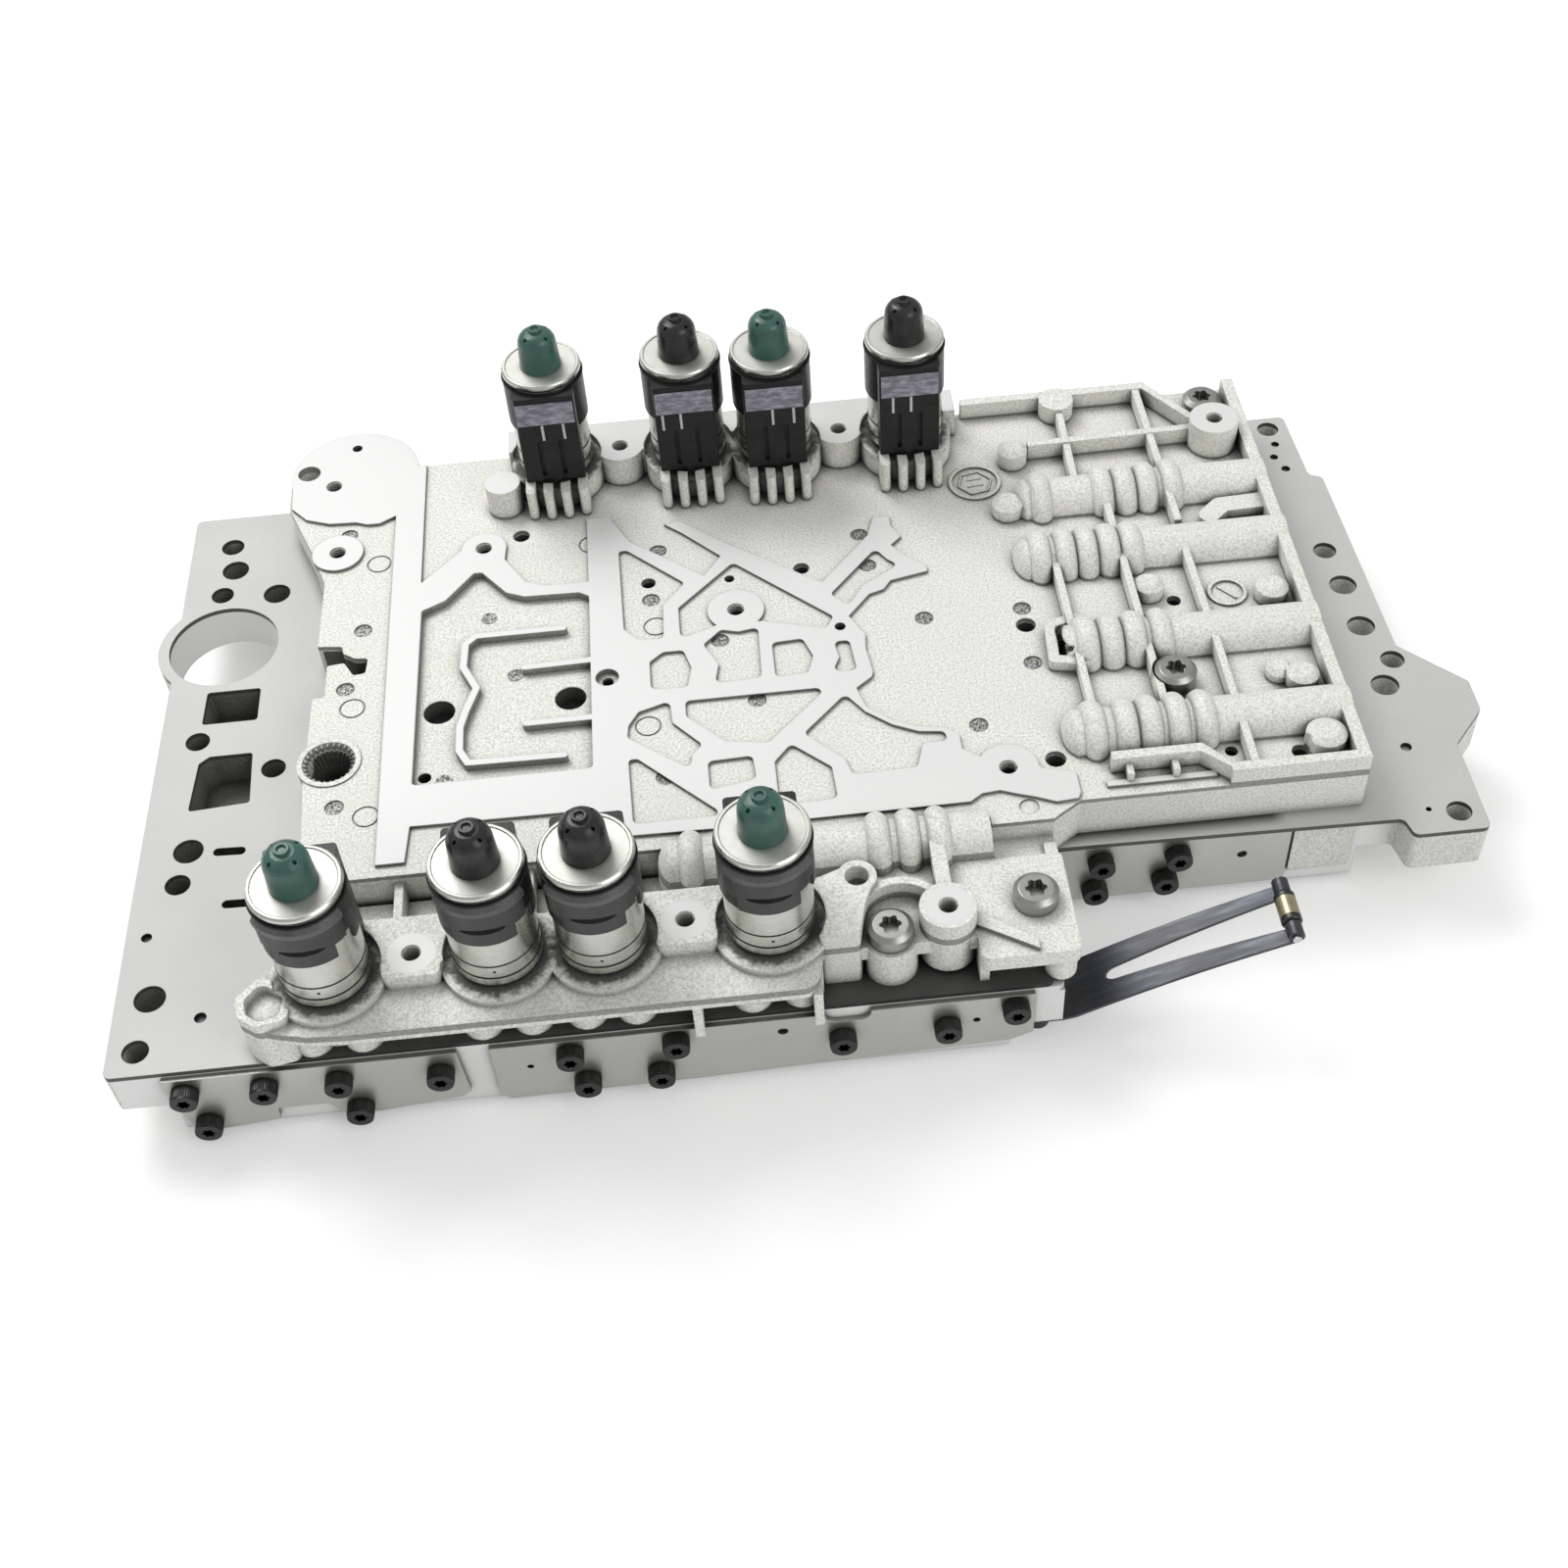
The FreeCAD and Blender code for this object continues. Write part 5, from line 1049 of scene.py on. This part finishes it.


# Valve springs

WIRE_R = 0.55
SPRING_TURNS = 6
TURN_STEPS = 20
WIRE_SIDES = 8
UPPER_SPRING_L = 18.0
UPPER_SPRING_R = 4.6
UPPER_SPRING_SEATS = [
    (331.0, 170.0, 13.0), (331.0, 143.5, 13.0), (331.0, 105.5, 13.0), (331.0, 72.0, 13.0),
    (226.0, 41.0, 11.0)]
LOWER_SPRING_L = 14.0
LOWER_SPRING_R = 4.4
LOWER_SPRING_SEATS = [
    (50.0, LEFT_FACE_Y, -13.5), (133.0, LEFT_FACE_Y, -13.5), (170.0, LEFT_FACE_Y, -13.5),
    (278.5, RIGHT_FACE_Y, -13.5)]


def valve_spring(row, number, seat, along, length, r, material):
    """A helix that stands on its fixed seat and ends at its spool."""
    seat = Vector(seat)
    side = Vector((0, 0, 1))
    other = along.cross(side)
    steps = SPRING_TURNS * TURN_STEPS
    bm = bmesh.new()
    rings = []
    for i in range(steps + 1):
        a = 2 * math.pi * i / TURN_STEPS
        out = side * math.cos(a) + other * math.sin(a)
        centre = seat + along * (WIRE_R + (length - 2 * WIRE_R) * i / steps) + out * r
        ring = []
        for k in range(WIRE_SIDES):
            b = 2 * math.pi * k / WIRE_SIDES
            skin = centre + (out * math.cos(b) + along * math.sin(b)) * WIRE_R
            ring.append(bm.verts.new(place(*skin)))
        rings.append(ring)
    close_tube(bm, rings)
    piece = mesh_object(f"{row}_spring_{number}_wire", bm, material)
    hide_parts(f"{row}_spring_{number}")
    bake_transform(piece)


def valve_springs(material):
    for i, seat in enumerate(UPPER_SPRING_SEATS):
        valve_spring("upper", i + 1, seat, Vector((-1, 0, 0)), UPPER_SPRING_L, UPPER_SPRING_R, material)
    for i, seat in enumerate(LOWER_SPRING_SEATS):
        valve_spring("lower", i + 1, seat, Vector((0, 1, 0)), LOWER_SPRING_L, LOWER_SPRING_R, material)


# Light, floor and camera; places are in metres of the frame, power in watts

WORLD_ON_PART = 0.55
WORLD_SEEN = 1.0
KEY_POWER = 14
FILL_POWER = 7
FLOOR_HALF = 5.0


def area_light(name, spot, size, power):
    """A soft rectangle of light that looks at the frame's origin."""
    light = bpy.data.lights.new(name, "AREA")
    light.shape = "RECTANGLE"
    light.size, light.size_y = size
    light.energy = power
    lamp = bpy.data.objects.new(name, light)
    lamp.location = spot
    lamp.rotation_euler = (-Vector(spot)).to_track_quat("-Z", "Y").to_euler()
    bpy.context.scene.collection.objects.link(lamp)


def studio():
    world = bpy.data.worlds.new("studio_white")
    bpy.context.scene.world = world
    world.use_nodes = True
    tree = world.node_tree
    background = tree.nodes["Background"]
    background.inputs["Color"].default_value = grey(1.0)
    seen = add(tree, "ShaderNodeLightPath").outputs["Is Camera Ray"]
    tree.links.new(span(tree, seen, 0.0, 1.0, WORLD_ON_PART, WORLD_SEEN), background.inputs["Strength"])
    area_light("key_back_left", (-0.55, 0.75, 1.25), (0.9, 0.7), KEY_POWER)
    area_light("fill_front_right", (0.9, -0.9, 1.0), (0.9, 0.9), FILL_POWER)
    bm = bmesh.new()
    half = FLOOR_HALF
    corners = ((-half, -half), (half, -half), (half, half), (-half, half))
    bm.faces.new([bm.verts.new((x, y, 0)) for x, y in corners])
    floor = mesh_object("floor_sheet", bm, floor_material(), smooth=False)


def camera():
    data = bpy.data.cameras.new("photo_camera")
    data.lens = LENS
    data.sensor_width = SENSOR
    data.clip_start = 0.02
    lens = bpy.data.objects.new("photo_camera", data)
    axes = Matrix((VIEW_RIGHT, -VIEW_DOWN, -VIEW_FORWARD)).transposed().to_4x4()
    lens.matrix_world = Matrix.Translation(EYE * MM) @ axes
    bpy.context.scene.collection.objects.link(lens)
    bpy.context.scene.camera = lens


materials = dress_cad_nodes()
knurls(materials["black_screw"])
threads(materials["cast"])
spline_flutes(materials["cast"])
dress_solenoids()
seals_and_disc_shadow_ring(materials["rubber"])
ejector_marks()
casting_marks(materials["cast"])
detent_blade(materials["blued"])
valve_springs(materials["spring"])
studio()
camera()
bpy.context.scene.view_settings.view_transform = "Standard"
